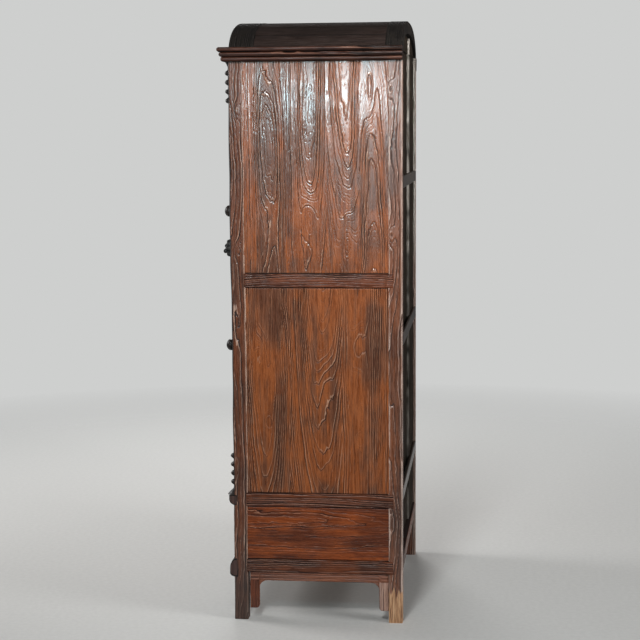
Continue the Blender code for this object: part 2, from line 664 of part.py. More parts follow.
# Drawer on the runners of the bottom rails: front, box of two sides and a back, and a bottom in grooves
drawer_slide = empty("drawer_slide", (0, FRONT, BOTTOM_RAIL_TOP))
drawer_front_z = shrunk((BOTTOM_RAIL_TOP, LOWER_RAIL_Z), DOOR_GAP)
drawer_front_y = (FRONT, FRONT + DRAWER_FRONT)
drawer_face = block(shrunk(front_span, DOOR_GAP), drawer_front_y, drawer_front_z)
drawer_front = piece("drawer_front", drawer_face, PANEL_WOOD, drawer_slide)
drawer_outer = INSIDE_X - DRAWER_SIDE_GAP
drawer_inner = drawer_outer - DRAWER_WALL
housing_y = FRONT + DRAWER_FRONT - DRAWER_HOUSING
drawer_end = BACK - DRAWER_BACK_SPACE
drawer_z = (BOTTOM_RAIL_TOP + FIT, BOTTOM_RAIL_TOP + DRAWER_SIDE_HEIGHT)
drawer_half = [
    (drawer_inner, drawer_end - DRAWER_WALL), (drawer_inner, housing_y), (drawer_outer, housing_y),
    (drawer_outer, drawer_end),
]
drawer_outline = drawer_half + [(-x, y) for x, y in reversed(drawer_half)]
drawer_box = piece("drawer_box", prism(2, drawer_outline, drawer_z), INNER_WOOD, drawer_slide)
for side in (1, -1):
    wall_x = (side * drawer_inner, side * drawer_outer)
    pocket(wall_x, (housing_y, drawer_end), (drawer_front_z[0] - DOOR_GAP, drawer_z[1]), drawer_front)
bottom_x = drawer_inner + DRAWER_BOTTOM_TONGUE
bottom_y = (FRONT + DRAWER_FRONT - DRAWER_BOTTOM_TONGUE, drawer_end - DRAWER_WALL + DRAWER_BOTTOM_TONGUE)
drawer_bottom_z = (drawer_z[0] + DRAWER_BOTTOM_RISE, drawer_z[0] + DRAWER_BOTTOM_RISE + DRAWER_BOTTOM)
piece("drawer_bottom", block((-bottom_x, bottom_x), bottom_y, drawer_bottom_z), INNER_WOOD, drawer_slide)
pocket((-bottom_x, bottom_x), bottom_y, drawer_bottom_z, drawer_box, drawer_front)
for hand, side in (("right", 1), ("left", -1)):
    knob(f"drawer_knob_{hand}", side * DRAWER_KNOB_X, sum(drawer_front_z) / 2, [drawer_front], drawer_slide)


def bead_rings(centre):
    """Heights and radii through one round bead of a column."""
    return [(centre + BEAD_HEIGHT / 2 * share, SHAFT_RADIUS + (BEAD_RADIUS - SHAFT_RADIUS) * swell)
            for share, swell in ((-1, 0), (-0.6, 0.75), (0, 1), (0.6, 0.75), (1, 0))]


# Split columns on the front posts, with four beads at each end and a flared foot
column_foot = WAIST_TOP + FIT
column_head = CORNICE_Z - FIT
foot_beads = [WAIST_TOP + COLUMN_FOOT + BEAD_PITCH * count for count in range(BEAD_COUNT)]
head_beads = [CORNICE_Z - COLUMN_HEAD - BEAD_PITCH * count for count in reversed(range(BEAD_COUNT))]
column_rings = [(column_foot, BEAD_RADIUS), (column_foot + COLUMN_FLARE / 3, BEAD_RADIUS)]
column_rings.append((column_foot + COLUMN_FLARE, SHAFT_RADIUS))
for centre in foot_beads + head_beads:
    column_rings += bead_rings(centre)
column_rings += [(column_head - COLUMN_FLARE / 3, BEAD_RADIUS), (column_head, BEAD_RADIUS)]
for hand, side in (("right", 1), ("left", -1)):
    column_x = side * (INSIDE_X + POST_SIZE / 2)
    halves = [(z, arc((column_x, FRONT - FIT), (radius, radius), 180, 360, 2 * ARC_FACETS))
              for z, radius in column_rings]
    piece(f"split_column_{hand}", loft(2, halves), BLACK_WOOD, case, rounded=True)

# Ebonised mouldings across the front: a quarter-round under a lip at the waist, a half-round at the base
moulding_x = (-HALF_WIDTH, HALF_WIDTH)
moulding_face = FRONT - FIT
lip_z = WAIST_TOP - WAIST_LIP
waist_outline = [(moulding_face, WAIST_TOP), (moulding_face - MOULDING_REACH, WAIST_TOP)]
waist_outline += arc((moulding_face, lip_z), (-MOULDING_REACH, WAIST_HEIGHT - WAIST_LIP), 0, -90, ARC_FACETS)
piece("waist_moulding", prism(0, waist_outline, moulding_x), BLACK_WOOD, case, rounded=True)
base_middle = BOTTOM_RAIL_TOP - BASE_DROP - BASE_HEIGHT / 2
base_outline = arc((moulding_face, base_middle), (-MOULDING_REACH, BASE_HEIGHT / 2), 90, -90, 2 * ARC_FACETS)
piece("base_moulding", prism(0, base_outline, moulding_x), BLACK_WOOD, case, rounded=True)
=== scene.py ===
"""Looks of the arched-top cabinet: brushed elm under old varnish, black turned trim and worn iron.

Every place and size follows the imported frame, in metres, with +X to the right of someone facing the
doors, +Y to the back and +Z up. The camera sees the right side and a sliver of the back.
"""

import json
import math

import bmesh
import bpy
import numpy as np
from mathutils import Matrix, Vector

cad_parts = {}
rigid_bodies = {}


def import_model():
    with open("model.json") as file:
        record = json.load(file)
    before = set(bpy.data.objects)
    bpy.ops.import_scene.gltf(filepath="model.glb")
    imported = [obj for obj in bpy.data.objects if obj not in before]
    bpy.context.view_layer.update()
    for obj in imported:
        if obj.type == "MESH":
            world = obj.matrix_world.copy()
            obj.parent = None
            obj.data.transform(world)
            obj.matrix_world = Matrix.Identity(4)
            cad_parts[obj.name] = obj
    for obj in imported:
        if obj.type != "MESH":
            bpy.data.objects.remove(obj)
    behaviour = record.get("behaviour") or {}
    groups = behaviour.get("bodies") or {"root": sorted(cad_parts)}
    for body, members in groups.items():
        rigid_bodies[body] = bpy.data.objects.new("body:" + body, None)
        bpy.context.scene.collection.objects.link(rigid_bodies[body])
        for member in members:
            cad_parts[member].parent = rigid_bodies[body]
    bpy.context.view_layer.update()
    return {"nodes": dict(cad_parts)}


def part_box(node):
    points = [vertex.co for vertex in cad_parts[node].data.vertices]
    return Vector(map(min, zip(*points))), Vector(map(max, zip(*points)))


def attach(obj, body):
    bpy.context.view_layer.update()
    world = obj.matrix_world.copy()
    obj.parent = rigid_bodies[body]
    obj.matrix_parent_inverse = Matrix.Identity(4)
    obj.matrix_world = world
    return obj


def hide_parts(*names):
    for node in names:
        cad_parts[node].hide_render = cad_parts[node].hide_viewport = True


for leftover in list(bpy.data.objects):
    bpy.data.objects.remove(leftover)
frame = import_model()

# Posts
# Four square elm posts stand on the floor, carry the cornice and end in the feet. The elm was
# brushed with wire, so its hard late wood stands in ridges over the soft wood between the years.
AXES = "xyz"
LATTICE = 61
YEARS = 257
NUDGE = 0.0006
EVEN = 0.6
GROOVE_WIDTH = 0.0012
GROOVE_SHARE = 0.80
RIDGE_AWAY = 2.2
RIDGE_SHARE = 0.50
HAIR_WIDTH = 0.0005
HAIR_SHARE = 0.40
HAIRS_A_YEAR = 3
FLAT_WIDENING = 0.5
FLAT_SLOPE = 70.0
CLOSE_GRAIN = 0.0030
BREAK_CELLS = (0.017, 0.045)
WANDER, WANDER_LENGTH = 0.007, 0.29
SINK, SINK_LENGTH = 0.008, 0.31
WAVES = ((0.50, 0.031, 0.310, 2), (0.40, 0.016, 0.085, 3), (0.13, 0.008, 0.030, 4), (0.06, 0.004, 0.011, 6))
POST_CELLS = (0.0018, 0.0042)
POST_ROLL = 0.0032
POST_RELIEF = 0.0013
POST_RING = 0.0058
CORNER_WEAR = 0.0045
CORNER_BRIGHT = 0.42
# How dark the front posts' corner beside the column is painted, as shade.
CORNER_PAINTED_SHADE = 0.80
WEAR_CELLS = (0.020, 0.035)
WEAR_SEED = 17
HEAD_LEAN = 0.0046
MIDDLE_LEAN = 0.0022
FOOT_LEAN = 0.0056
BOW_HEIGHT = 1.115
WAIST_HEIGHT = 0.40
BOW_LENGTH = 0.060
RIPPLE, RIPPLE_LENGTH = 0.0009, 0.11
BARE_FOOT = 0.105
BARE_RAGGED = 0.022
BARE_CELLS = (0.009, 0.012)
BARE_EDGE = 0.004
# How high and how strongly the front feet are made darker towards the floor.
DARK_FOOT_HEIGHTS = (0.09, 0.19)
DARK_FOOT_SHARE = 0.75
# Heights over which the pale painted light on the back's edges grows brighter upward.
PAINTED_LIGHT_HEIGHTS = (1.05, 1.25)
END_RIM = 0.16
SHARP = 50
BARE_WOOD = ((112, 76, 50), (182, 136, 98), (212, 172, 134))
# Pale grey painted as light on the back's edges.
PAINTED_LIGHT_WOOD = ((126, 114, 104), (182, 174, 165), (210, 204, 195))
# Darker colours for the front feet, towards the floor.
DARK_FOOT_WOOD = ((44, 30, 25), (58, 41, 34), (74, 53, 44))
# Each list of woods runs: grooves, dark with dirt and painted shade; dim, plain and warm bands; ridges, pale
# as painted highlight and wear.
POST_WOODS = ((30, 19, 15), (72, 44, 33), (96, 59, 42), (117, 66, 40), (182, 150, 132))
# A lighter, greyer copy of the post's colours, painted as sheen on the right back post.
SHEEN_LIT_POST_WOODS = ((32, 20, 16), (80, 50, 38), (108, 69, 51), (130, 77, 49), (200, 174, 160))


def linear(red, green, blue):
    """An 8-bit screen colour as the linear values that a shader takes."""
    return tuple(((c / 255 + 0.055) / 1.055) ** 2.4 for c in (red, green, blue)) + (1.0,)


def eased(value, low, high):
    """0 below low, 1 above high and a smooth step between them."""
    share = np.clip((value - low) / (high - low), 0.0, 1.0)
    return share * share * (3.0 - 2.0 * share)


def hills(across, along, cell_across, cell_along, seed):
    """Smooth random hills from -1 to 1, about one to a cell."""
    lattice = np.random.default_rng(seed).uniform(-1.0, 1.0, (LATTICE, LATTICE))
    first, second = np.broadcast_arrays(across / cell_across, along / cell_along)
    row = np.floor(first).astype(int)
    column = np.floor(second).astype(int)
    down = eased(first - row, 0.0, 1.0)
    over = eased(second - column, 0.0, 1.0)
    near = lattice[row % LATTICE, column % LATTICE] * (1 - over)
    near = near + lattice[row % LATTICE, (column + 1) % LATTICE] * over
    far = lattice[(row + 1) % LATTICE, column % LATTICE] * (1 - over)
    far = far + lattice[(row + 1) % LATTICE, (column + 1) % LATTICE] * over
    return near * (1 - down) + far * down


def sawn(pith, seed, lean=(0.0, 0.0), ring=0.0075, wild=1.0, eyes=()):
    """How a board was sawn: its log's pith (across and deep), its lean, its rings and its knots."""
    return {"pith": pith, "seed": seed, "lean": lean, "ring": ring, "wild": wild, "eyes": eyes}


def growth(across, deep, along, log):
    """How many yearly rings lie between a point of a board and the pith of its log."""
    seed = log["seed"]
    level = along * 0.0
    skin = across + deep
    wander = WANDER * log["wild"] * hills(level, along, 1.0, WANDER_LENGTH, seed)
    sink = SINK * log["wild"] * hills(level, along, 1.0, SINK_LENGTH, seed + 1)
    side = across - log["pith"][0] - log["lean"][0] * along - wander
    behind = deep - log["pith"][1] - log["lean"][1] * along - sink
    rings = np.hypot(side, behind) / log["ring"]
    for share, cell_across, cell_along, step in WAVES:
        rings = rings + share * log["wild"] * hills(skin, along, cell_across, cell_along, seed + step)
    for place_across, place_along, half_across, half_along, count in log["eyes"]:
        away = ((skin - place_across) / half_across) ** 2 + ((along - place_along) / half_along) ** 2
        rings = rings + count * np.exp(-away)
    return rings


def figure(across, deep, along, planks):
    """The rings of planks glued side by side, each given as its far edge and how it was sawn."""
    rings = growth(across, deep, along, planks[-1][1])
    for edge, log in reversed(planks[:-1]):
        rings = np.where(across < edge, growth(across, deep, along, log), rings)
    return rings


def brushed(across, deep, along, planks, facing=None):
    """The brushed face of a piece: 0 in the deepest groove, 1 on the ridge beside it.

    A piece brushed all round gives which way each point is facing, across and deep."""
    seed = planks[0][1]["seed"]
    rings = figure(across, deep, along, planks)
    ahead = figure(across + NUDGE, deep, along, planks) - rings
    upward = figure(across, deep, along + NUDGE, planks) - rings
    if facing is not None:
        inward = figure(across, deep + NUDGE, along, planks) - rings
        ahead = ahead * facing[1] - inward * facing[0]
    slope = np.sqrt(ahead ** 2 + upward ** 2) / NUDGE + 1.0
    softness = np.random.default_rng(seed).uniform(0.0, 1.0, YEARS) ** 1.1
    year = np.floor(rings).astype(int)
    past = (rings - year) / slope
    coming = (year + 1 - rings) / slope
    before, after = softness[year % YEARS], softness[(year + 1) % YEARS]
    width = GROOVE_WIDTH * (1.0 + FLAT_WIDENING * np.exp(-slope / FLAT_SLOPE))
    groove = before * np.exp(-(past / width) ** 2) + after * np.exp(-(coming / width) ** 2)
    ridge = after * np.exp(-((coming - RIDGE_AWAY * width) / width) ** 2)
    hair_rings = rings * HAIRS_A_YEAR
    hair_away = np.abs(hair_rings - np.round(hair_rings)) / (HAIRS_A_YEAR * slope)
    hair = softness[np.round(hair_rings).astype(int) * 7 % YEARS] * np.exp(-(hair_away / HAIR_WIDTH) ** 2)
    open_grain = np.clip(1.5 - CLOSE_GRAIN * slope, 0.25, 1.0)
    broken = 0.72 + 0.40 * hills(across + deep, along, *BREAK_CELLS, seed + 5)
    cut = RIDGE_SHARE * ridge - GROOVE_SHARE * groove - HAIR_SHARE * hair
    return np.clip(EVEN + open_grain * broken * cut, 0.0, 1.0)


def made(name, points, faces, materials, marks, face_materials=None, sharp=SHARP):
    """A mesh object at the origin, faces outward and smooth up to its sharp edges, with its marks kept."""
    mesh = bpy.data.meshes.new(name)
    mesh.from_pydata(points, [], faces)
    for material in materials:
        mesh.materials.append(material)
    if face_materials is not None:
        mesh.polygons.foreach_set("material_index", face_materials)
    for mark, values in marks.items():
        mesh.attributes.new(mark, "FLOAT", "POINT").data.foreach_set("value", np.ravel(values))
    work = bmesh.new()
    work.from_mesh(mesh)
    if work.calc_volume(signed=True) < 0.0:
        bmesh.ops.reverse_faces(work, faces=work.faces)
        work.to_mesh(mesh)
    work.free()
    mesh.shade_smooth()
    mesh.set_sharp_from_angle(angle=math.radians(sharp))
    made_object = bpy.data.objects.new(name, mesh)
    bpy.context.scene.collection.objects.link(made_object)
    return made_object


def settled(piece, body, slot, *nodes):
    """The piece moves with a body and stands for its CAD nodes, which it hides; its slot is not used."""
    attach(piece, body)
    if nodes:
        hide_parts(*nodes)
    return piece


def spaced(corners, step):
    """Points along a line through the corners, no further apart than the step."""
    points = []
    for start, end in zip(corners, corners[1:]):
        count = max(1, math.ceil(math.dist(start, end) / step))
        points += [(start[0] + (end[0] - start[0]) * k / count, start[1] + (end[1] - start[1]) * k / count)
                   for k in range(count)]
    return np.array(points + [corners[-1]])


def traced(corners, step):
    """A closed outline with points no further apart than the step."""
    return spaced(corners + corners[:1], step)[:-1]


def arc(centre, radii, start, end, steps):
    """Points along an ellipse between two angles in degrees, both ends included."""
    turns = np.radians(np.linspace(start, end, steps + 1))
    return [(centre[0] + radii[0] * math.cos(turn), centre[1] + radii[1] * math.sin(turn)) for turn in turns]


def rounded(low, high, radius):
    """A rectangle with round corners, anticlockwise from its lower right."""
    corners = arc((high[0] - radius, low[1] + radius), (radius, radius), -90, 0, 3)
    corners += arc((high[0] - radius, high[1] - radius), (radius, radius), 0, 90, 3)
    corners += arc((low[0] + radius, high[1] - radius), (radius, radius), 90, 180, 3)
    corners += arc((low[0] + radius, low[1] + radius), (radius, radius), 180, 270, 3)
    return corners


def walled(near, far, axis):
    """Faces between two runs of numbered points, each closed on itself along an axis."""
    corners = [near, np.roll(near, -1, axis), np.roll(far, -1, axis), far]
    return np.stack(corners, axis=-1).reshape(-1, 4).tolist()


def bar(name, axis, section, ends, step, materials, log=None, depth=0.0, drift=None, second_colours=None, crest=EVEN):
    """A long piece of one section, brushed all round, with the last material inside a rim at its ends.

    The section is anticlockwise in the other two axes, in their order. The ends are places along the
    axis, one for all of the section or one for each point. The crest is how pale each point is painted:
    wear on worn edges and crests, and painted highlight and shade where a piece gives them."""
    others = [other for other in range(3) if other != axis]
    tangent = np.roll(section, -1, axis=0) - np.roll(section, 1, axis=0)
    outward = np.stack([tangent[:, 1], -tangent[:, 0]], axis=1)
    outward /= np.linalg.norm(outward, axis=1)[:, None]
    start, stop = (np.broadcast_to(end, len(section)) for end in ends)
    count = max(2, math.ceil(float(np.max(np.abs(stop - start))) / step))
    share = np.linspace(0.0, 1.0, count + 1)
    along = start[:, None] + (stop - start)[:, None] * share[None, :]
    shape = along.shape
    first = np.broadcast_to(section[:, :1], shape)
    second = np.broadcast_to(section[:, 1:], shape)
    relief = np.full(shape, EVEN)
    if log:
        relief = brushed(first, second, along, [(None, log)], (outward[:, :1], outward[:, 1:]))
    height = -depth * (1.0 - relief)
    points = np.empty(shape + (3,))
    points[..., others[0]] = first + outward[:, :1] * height
    points[..., others[1]] = second + outward[:, 1:] * height
    points[..., axis] = along
    if drift:
        points = points + drift(along)
    number = np.arange(along.size).reshape(shape)
    faces = walled(number[:, :-1], number[:, 1:], 0)
    wear = np.broadcast_to(crest, len(section))[:, None] - EVEN
    wear = wear * (0.85 + 0.35 * hills(first + second, along, *WEAR_CELLS, WEAR_SEED))
    # The second set of colours: unfinished wood at the worn back foot, pale painted light on the back's edges
    # and darker colours at the front feet.
    second_set = second_colours(first, second, along) if second_colours else along * 0.0
    marks = {"relief": np.clip(relief + wear, 0.0, 1.0), "second_colours": second_set}
    points = points.reshape(-1, 3)
    for end in (0, -1):
        rim = number[:, end]
        inner = points[rim] + END_RIM * (points[rim].mean(axis=0) - points[rim])
        inside = len(points) + np.arange(len(rim))
        points = np.concatenate([points, inner])
        marks = {label: np.append(values, np.ravel(values)[rim]) for label, values in marks.items()}
        ring = np.stack([np.roll(rim, -1), rim, inside, np.roll(inside, -1)], axis=-1)
        faces += (ring if end == 0 else ring[:, ::-1]).tolist()
        faces.append((inside[::-1] if end == 0 else inside).tolist())
    kinds = np.zeros(len(faces), int)
    kinds[[-1, -2 - len(section)]] = len(materials) - 1
    return made(name, points, faces, materials, marks, kinds)


def add(tree, kind, **inputs):
    """A new node of that kind, with each named input set or linked."""
    node = tree.nodes.new(kind)
    for name, value in inputs.items():
        join(tree, value, node.inputs[name.replace("_", " ")])
    return node


def join(tree, value, socket):
    """A socket's input, either linked from another socket or set as a plain value."""
    if isinstance(value, bpy.types.NodeSocket):
        tree.links.new(value, socket)
    else:
        socket.default_value = value


def mixed(tree, mode, factor, first, second):
    """Two colours mixed by a factor."""
    node = tree.nodes.new("ShaderNodeMix")
    node.data_type = "RGBA"
    node.blend_type = mode
    for index, value in ((0, factor), (6, first), (7, second)):
        join(tree, value, node.inputs[index])
    return node.outputs[2]


def ramp(tree, factor, *stops):
    """Colours along a factor, each stop a place and a colour."""
    node = add(tree, "ShaderNodeValToRGB", Fac=factor)
    elements = node.color_ramp.elements
    for place, colour in stops[1:-1]:
        elements.new(place).color = colour
    for element, (place, colour) in zip((elements[0], elements[-1]), (stops[0], stops[-1])):
        element.position = place
        element.color = colour
    return node.outputs["Color"]


def ranged(tree, value, low, high, to_low, to_high):
    """A value stretched from one range to another and held there."""
    limits = {"From_Min": low, "From_Max": high, "To_Min": to_low, "To_Max": to_high}
    return add(tree, "ShaderNodeMapRange", Value=value, **limits).outputs["Result"]


def mark(tree, name):
    """A mark that a piece keeps on its points."""
    node = tree.nodes.new("ShaderNodeAttribute")
    node.attribute_name = name
    return node.outputs["Fac"]


def noise(tree, place, scale, detail, roughness=0.5):
    """Smooth random values from 0 to 1, most of them near the middle."""
    node = add(tree, "ShaderNodeTexNoise", Vector=place, Scale=scale, Detail=detail, Roughness=roughness)
    return node.outputs["Fac"]


def fibres(tree, place, grain, across, along, detail):
    """Noise drawn out along the grain."""
    stretch = [across] * 3
    stretch[AXES.index(grain)] = along
    drawn = add(tree, "ShaderNodeMapping", Vector=place, Scale=stretch).outputs["Vector"]
    return noise(tree, drawn, 1.0, detail, 0.62)


def bumped(tree, shader, *layers):
    """Bumps laid over each other on a shader, each a strength, a distance and a height."""
    socket = shader.inputs["Normal"]
    for strength, distance, height in reversed(layers):
        bump = add(tree, "ShaderNodeBump", Strength=strength, Distance=distance, Height=height)
        tree.links.new(bump.outputs["Normal"], socket)
        socket = bump.inputs["Normal"]


def started(name):
    """A new material with its tree, its shader and its place on the object."""
    material = bpy.data.materials.new(name)
    material.use_nodes = True
    tree = material.node_tree
    place = add(tree, "ShaderNodeTexCoord").outputs["Object"]
    return material, tree, tree.nodes["Principled BSDF"], place


def elm(name, grain, woods, gloss, specular=0.5, second_set=BARE_WOOD, varnish=0.0):
    """Brushed elm under old varnish, in a second set of colours where a piece is marked for them.

    Its woods are the screen colours of the grooves, dark with dirt and painted shade, of dim, plain and warm
    bands, and of the ridges, pale as painted highlight and as wear."""
    material, tree, shader, place = started(name)
    groove, dim, wood, warm, ridge = (linear(*colour) for colour in woods)
    shader.inputs["Specular IOR Level"].default_value = specular
    shader.inputs["Coat Weight"].default_value = varnish
    shader.inputs["Coat Roughness"].default_value = 0.14
    relief = mark(tree, "relief")
    second_colours = mark(tree, "second_colours")
    band = fibres(tree, place, grain, 24.0, 2.2, 3.0)
    fibre = fibres(tree, place, grain, 300.0, 17.0, 4.0)
    pore = fibres(tree, place, grain, 700.0, 60.0, 2.0)
    cloud = noise(tree, place, 5.0, 3.0, 0.6)
    colour = ramp(tree, band, (0.34, dim), (0.47, wood), (0.56, warm), (0.68, wood))
    colour = mixed(tree, "MIX", ranged(tree, cloud, 0.50, 0.62, 0.0, 0.80), colour, warm)
    colour = mixed(tree, "MIX", ranged(tree, cloud, 0.46, 0.36, 0.0, 0.65), colour, dim)
    pale, dull = linear(255, 255, 255), linear(182, 164, 152)
    colour = mixed(tree, "MULTIPLY", 0.85, colour, ramp(tree, fibre, (0.36, dull), (0.58, pale)))
    colour = mixed(tree, "MULTIPLY", ranged(tree, pore, 0.58, 0.70, 0.0, 0.5), colour, groove)
    # The brushed ridges are painted pale as highlight, and on worn corners as wear; the grooves are painted
    # dark for dirt and as shade.
    colour = mixed(tree, "MIX", ranged(tree, relief, 0.62, 0.94, 0.0, 0.85), colour, ridge)
    colour = mixed(tree, "MIX", ranged(tree, relief, 0.56, 0.16, 0.0, 1.0), colour, groove)
    # The second set of colours: unfinished wood at the worn back foot, pale painted light on the back's edges
    # and darker colours at the front feet, each where a piece is marked.
    worn = ramp(tree, fibre, *zip((0.36, 0.50, 0.66), (linear(*colour) for colour in second_set)))
    join(tree, mixed(tree, "MIX", second_colours, colour, worn), shader.inputs["Base Color"])
    polish = ranged(tree, fibre, 0.32, 0.68, *gloss)
    polish = mixed(tree, "MIX", ranged(tree, relief, 0.55, 0.25, 0.0, 1.0), polish, (0.7, 0.7, 0.7, 1.0))
    join(tree, mixed(tree, "MIX", second_colours, polish, (0.85, 0.85, 0.85, 1.0)), shader.inputs["Roughness"])
    bumped(tree, shader, (0.35, 0.0010, fibre), (0.30, 0.0007, pore), (0.7, 0.0025, relief))
    return material


post_elm = elm("brushed_elm_post", "z", POST_WOODS, (0.18, 0.38), varnish=0.2)
dark_foot_elm = elm("brushed_elm_post_grimy", "z", POST_WOODS, (0.18, 0.38), second_set=DARK_FOOT_WOOD, varnish=0.2)
post_finish = {
    "front_right": dark_foot_elm,
    "front_left": dark_foot_elm,
    # The right back post: a lighter copy of the post's colours, painted as sheen.
    "back_right": elm("brushed_elm_post_pale", "z", SHEEN_LIT_POST_WOODS, (0.18, 0.38), varnish=0.4),
    # The left back post: rougher, with its inner face painted pale as light.
    "back_left": elm("brushed_elm_post_rubbed", "z", POST_WOODS, (0.30, 0.50), second_set=PAINTED_LIGHT_WOOD),
}


def leaning(along):
    """The right front post's natural bend: it leans forward, most of all at its head and its foot."""
    bend = np.zeros(along.shape + (3,))
    above = eased(along, BOW_HEIGHT - BOW_LENGTH, BOW_HEIGHT + BOW_LENGTH)
    below = 1.0 - eased(along, WAIST_HEIGHT - BOW_LENGTH, WAIST_HEIGHT + BOW_LENGTH)
    bend[..., 1] = -HEAD_LEAN * above - FOOT_LEAN * below - MIDDLE_LEAN * (1.0 - above - below)
    bend[..., 1] += RIPPLE * hills(along, along, RIPPLE_LENGTH, RIPPLE_LENGTH, 91)
    return bend


def worn_foot(first, second, along):
    """Where the right back foot has lost its finish, up to a ragged line."""
    line = BARE_FOOT + BARE_RAGGED * hills(first + second, first - second, *BARE_CELLS, 57)
    return 1.0 - eased(along, line - BARE_EDGE, line + BARE_EDGE)


def darker_foot(first, second, along):
    """How much darker a front foot is made towards the floor."""
    return DARK_FOOT_SHARE * (1.0 - eased(along, *DARK_FOOT_HEIGHTS))


def painted_light_inner_face(first, second, along):
    """Where the left back post is painted pale as light: its inner face behind the boards, brightest up high.
    """
    inner = eased(first, first.max() - 0.003, first.max() - 0.001)
    inner = inner * eased(second, second.max() - 0.012, second.max() - 0.010)
    return inner * (0.30 + 0.70 * eased(along, *PAINTED_LIGHT_HEIGHTS))


post_knots = {
    "front_right": (
        (0.215, 1.640, 0.010, 0.026, 2.4), (0.212, 1.200, 0.010, 0.024, 2.6), (0.200, 0.99, 0.010, 0.09, 1.2),
    ),
    "back_right": ((0.694, 1.249, 0.010, 0.030, 2.2), (0.690, 1.700, 0.010, 0.030, 1.8)),
    "front_left": ((-0.667, 1.37, 0.010, 0.026, 2.4), (-0.660, 0.62, 0.010, 0.03, 2.2)),
    "back_left": ((-0.173, 0.83, 0.010, 0.026, 2.4),),
}
for seed, (corner, knots) in enumerate(post_knots.items()):
    low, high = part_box(f"post_{corner}")
    outline = traced(rounded(low[:2], high[:2], POST_ROLL), POST_CELLS[0])
    pith = (low[0] - 0.05, low[1] - 0.03) if low[0] > 0 else (high[0] + 0.04, high[1] + 0.05)
    log = sawn(pith, 11 + 7 * seed, ring=POST_RING, eyes=knots)
    inward = np.minimum(outline - np.array(low[:2]), np.array(high[:2]) - outline).sum(axis=1)
    # Painted shade: on the front posts, the corner beside the column is painted dark.
    beside_column = np.exp(-((outline[:, 1] - low[1]) / CORNER_WEAR) ** 2) if "front" in corner else 0.0
    post = bar(
        f"elm_post_{corner}", 2, outline, (low[2], high[2]), POST_CELLS[1],
        [post_finish[corner]], log, POST_RELIEF,
        drift=leaning if corner == "front_right" else None,
        second_colours={"back_right": worn_foot, "back_left": painted_light_inner_face}.get(corner, darker_foot),
        crest=EVEN + (CORNER_BRIGHT - CORNER_PAINTED_SHADE * beside_column) * np.exp(-(inward / CORNER_WEAR) ** 2),
    )
    settled(post, "case", "frame_wood", f"post_{corner}")

# Side and front rails
# Elm rails tenoned between the posts, with their grain lying. On the sides they stand a little back
# from the posts, and their brushed ends lap onto the posts' worn inner edges. The bottom side rails
# carry a runner for the drawer.
RAIL_CELLS = (0.0015, 0.0032)
RAIL_RELIEF = 0.0008
RAIL_ROLL = 0.0022
FRONT_LAP = 0.0110
BACK_LAP = 0.0180
LAP_RISE = 0.0024
LAP_SLOPE = 0.016
RUNNER_HEIGHT = 0.018
RUNNER_ROLL = 0.001
RUNNER_CELLS = (0.006, 0.020)
# Width of the darker band painted along each board's rim as shade.
RIM_SHADE = 0.0026


def backed(name, front, normal, back_at, relief, materials, marks=None, cover_kinds=0):
    """A closed solid behind a grid of points: the grid, walls round its rim and one flat back face."""
    shape = front.shape[:2]
    number = np.arange(shape[0] * shape[1]).reshape(shape)
    loop = np.concatenate([number[:-1, 0], number[-1, :-1], number[:0:-1, -1], number[0, :0:-1]])
    points = front.reshape(-1, 3)
    back = points[loop].copy()
    back[:, normal] = back_at
    behind = number.size + np.arange(len(loop))
    corners = [number[:-1, :-1], number[1:, :-1], number[1:, 1:], number[:-1, 1:]]
    cover = np.stack(corners, axis=-1).reshape(-1, 4)
    walls = np.stack([loop, behind, np.roll(behind, -1), np.roll(loop, -1)], axis=-1)
    faces = cover.tolist() + walls.tolist() + [behind[::-1].tolist()]
    kept = {"relief": relief, "second_colours": relief * 0.0, **(marks or {})}
    for label, values in kept.items():
        kept[label] = np.concatenate([np.ravel(values), np.ravel(values)[loop]])
    kinds = np.zeros(len(faces), int)
    kinds[:len(cover)] = np.ravel(cover_kinds)
    kinds[-1] = len(materials) - 1
    return made(name, np.concatenate([points, back]), faces, materials, kept, kinds)


def rolled_back(rim, roll):
    """How far a face falls back where it is rolled over toward its rim."""
    return np.sqrt(roll ** 2 - np.clip(roll - rim, 0.0, roll) ** 2) - roll


def board(
    name, face, low, high, grain, planks, depth, cells, materials,
    roll=0.0015, swell=None, marks=None, brushing=1.0,
):
    """A board with one brushed face, rolled over at its edges, which are painted darker as shade, and a plain
    back.
    """
    normal = AXES.index(face[1])
    length = AXES.index(grain)
    width = 3 - normal - length
    outward = 1 if face[0] == "+" else -1
    lines = []
    for axis, cell in ((width, cells[0]), (length, cells[1])):
        lines.append(np.linspace(low[axis], high[axis], max(2, round((high[axis] - low[axis]) / cell)) + 1))
    across, along = np.meshgrid(*lines, indexing="ij")
    relief = EVEN + brushing * (brushed(across, 0.0 * across, along, planks) - EVEN)
    rim = np.minimum.reduce(
        [across - low[width], high[width] - across, along - low[length], high[length] - along]
    )
    height = rolled_back(rim, roll) - depth * (1.0 - relief)
    if swell is not None:
        height = height + swell(across, along)
    face_at, back_at = (high[normal], low[normal]) if outward > 0 else (low[normal], high[normal])
    front = np.empty(across.shape + (3,))
    front[..., width] = across
    front[..., length] = along
    front[..., normal] = face_at + outward * height
    kept = {label: values(across, along) for label, values in (marks or {}).items()}
    # Painted shade: the mark is lowered near the rim, so each board's edges render darker.
    rim_shaded = relief * (0.25 + 0.75 * eased(rim, 0.0, RIM_SHADE))
    return backed(name, front, normal, back_at, rim_shaded, materials, kept)


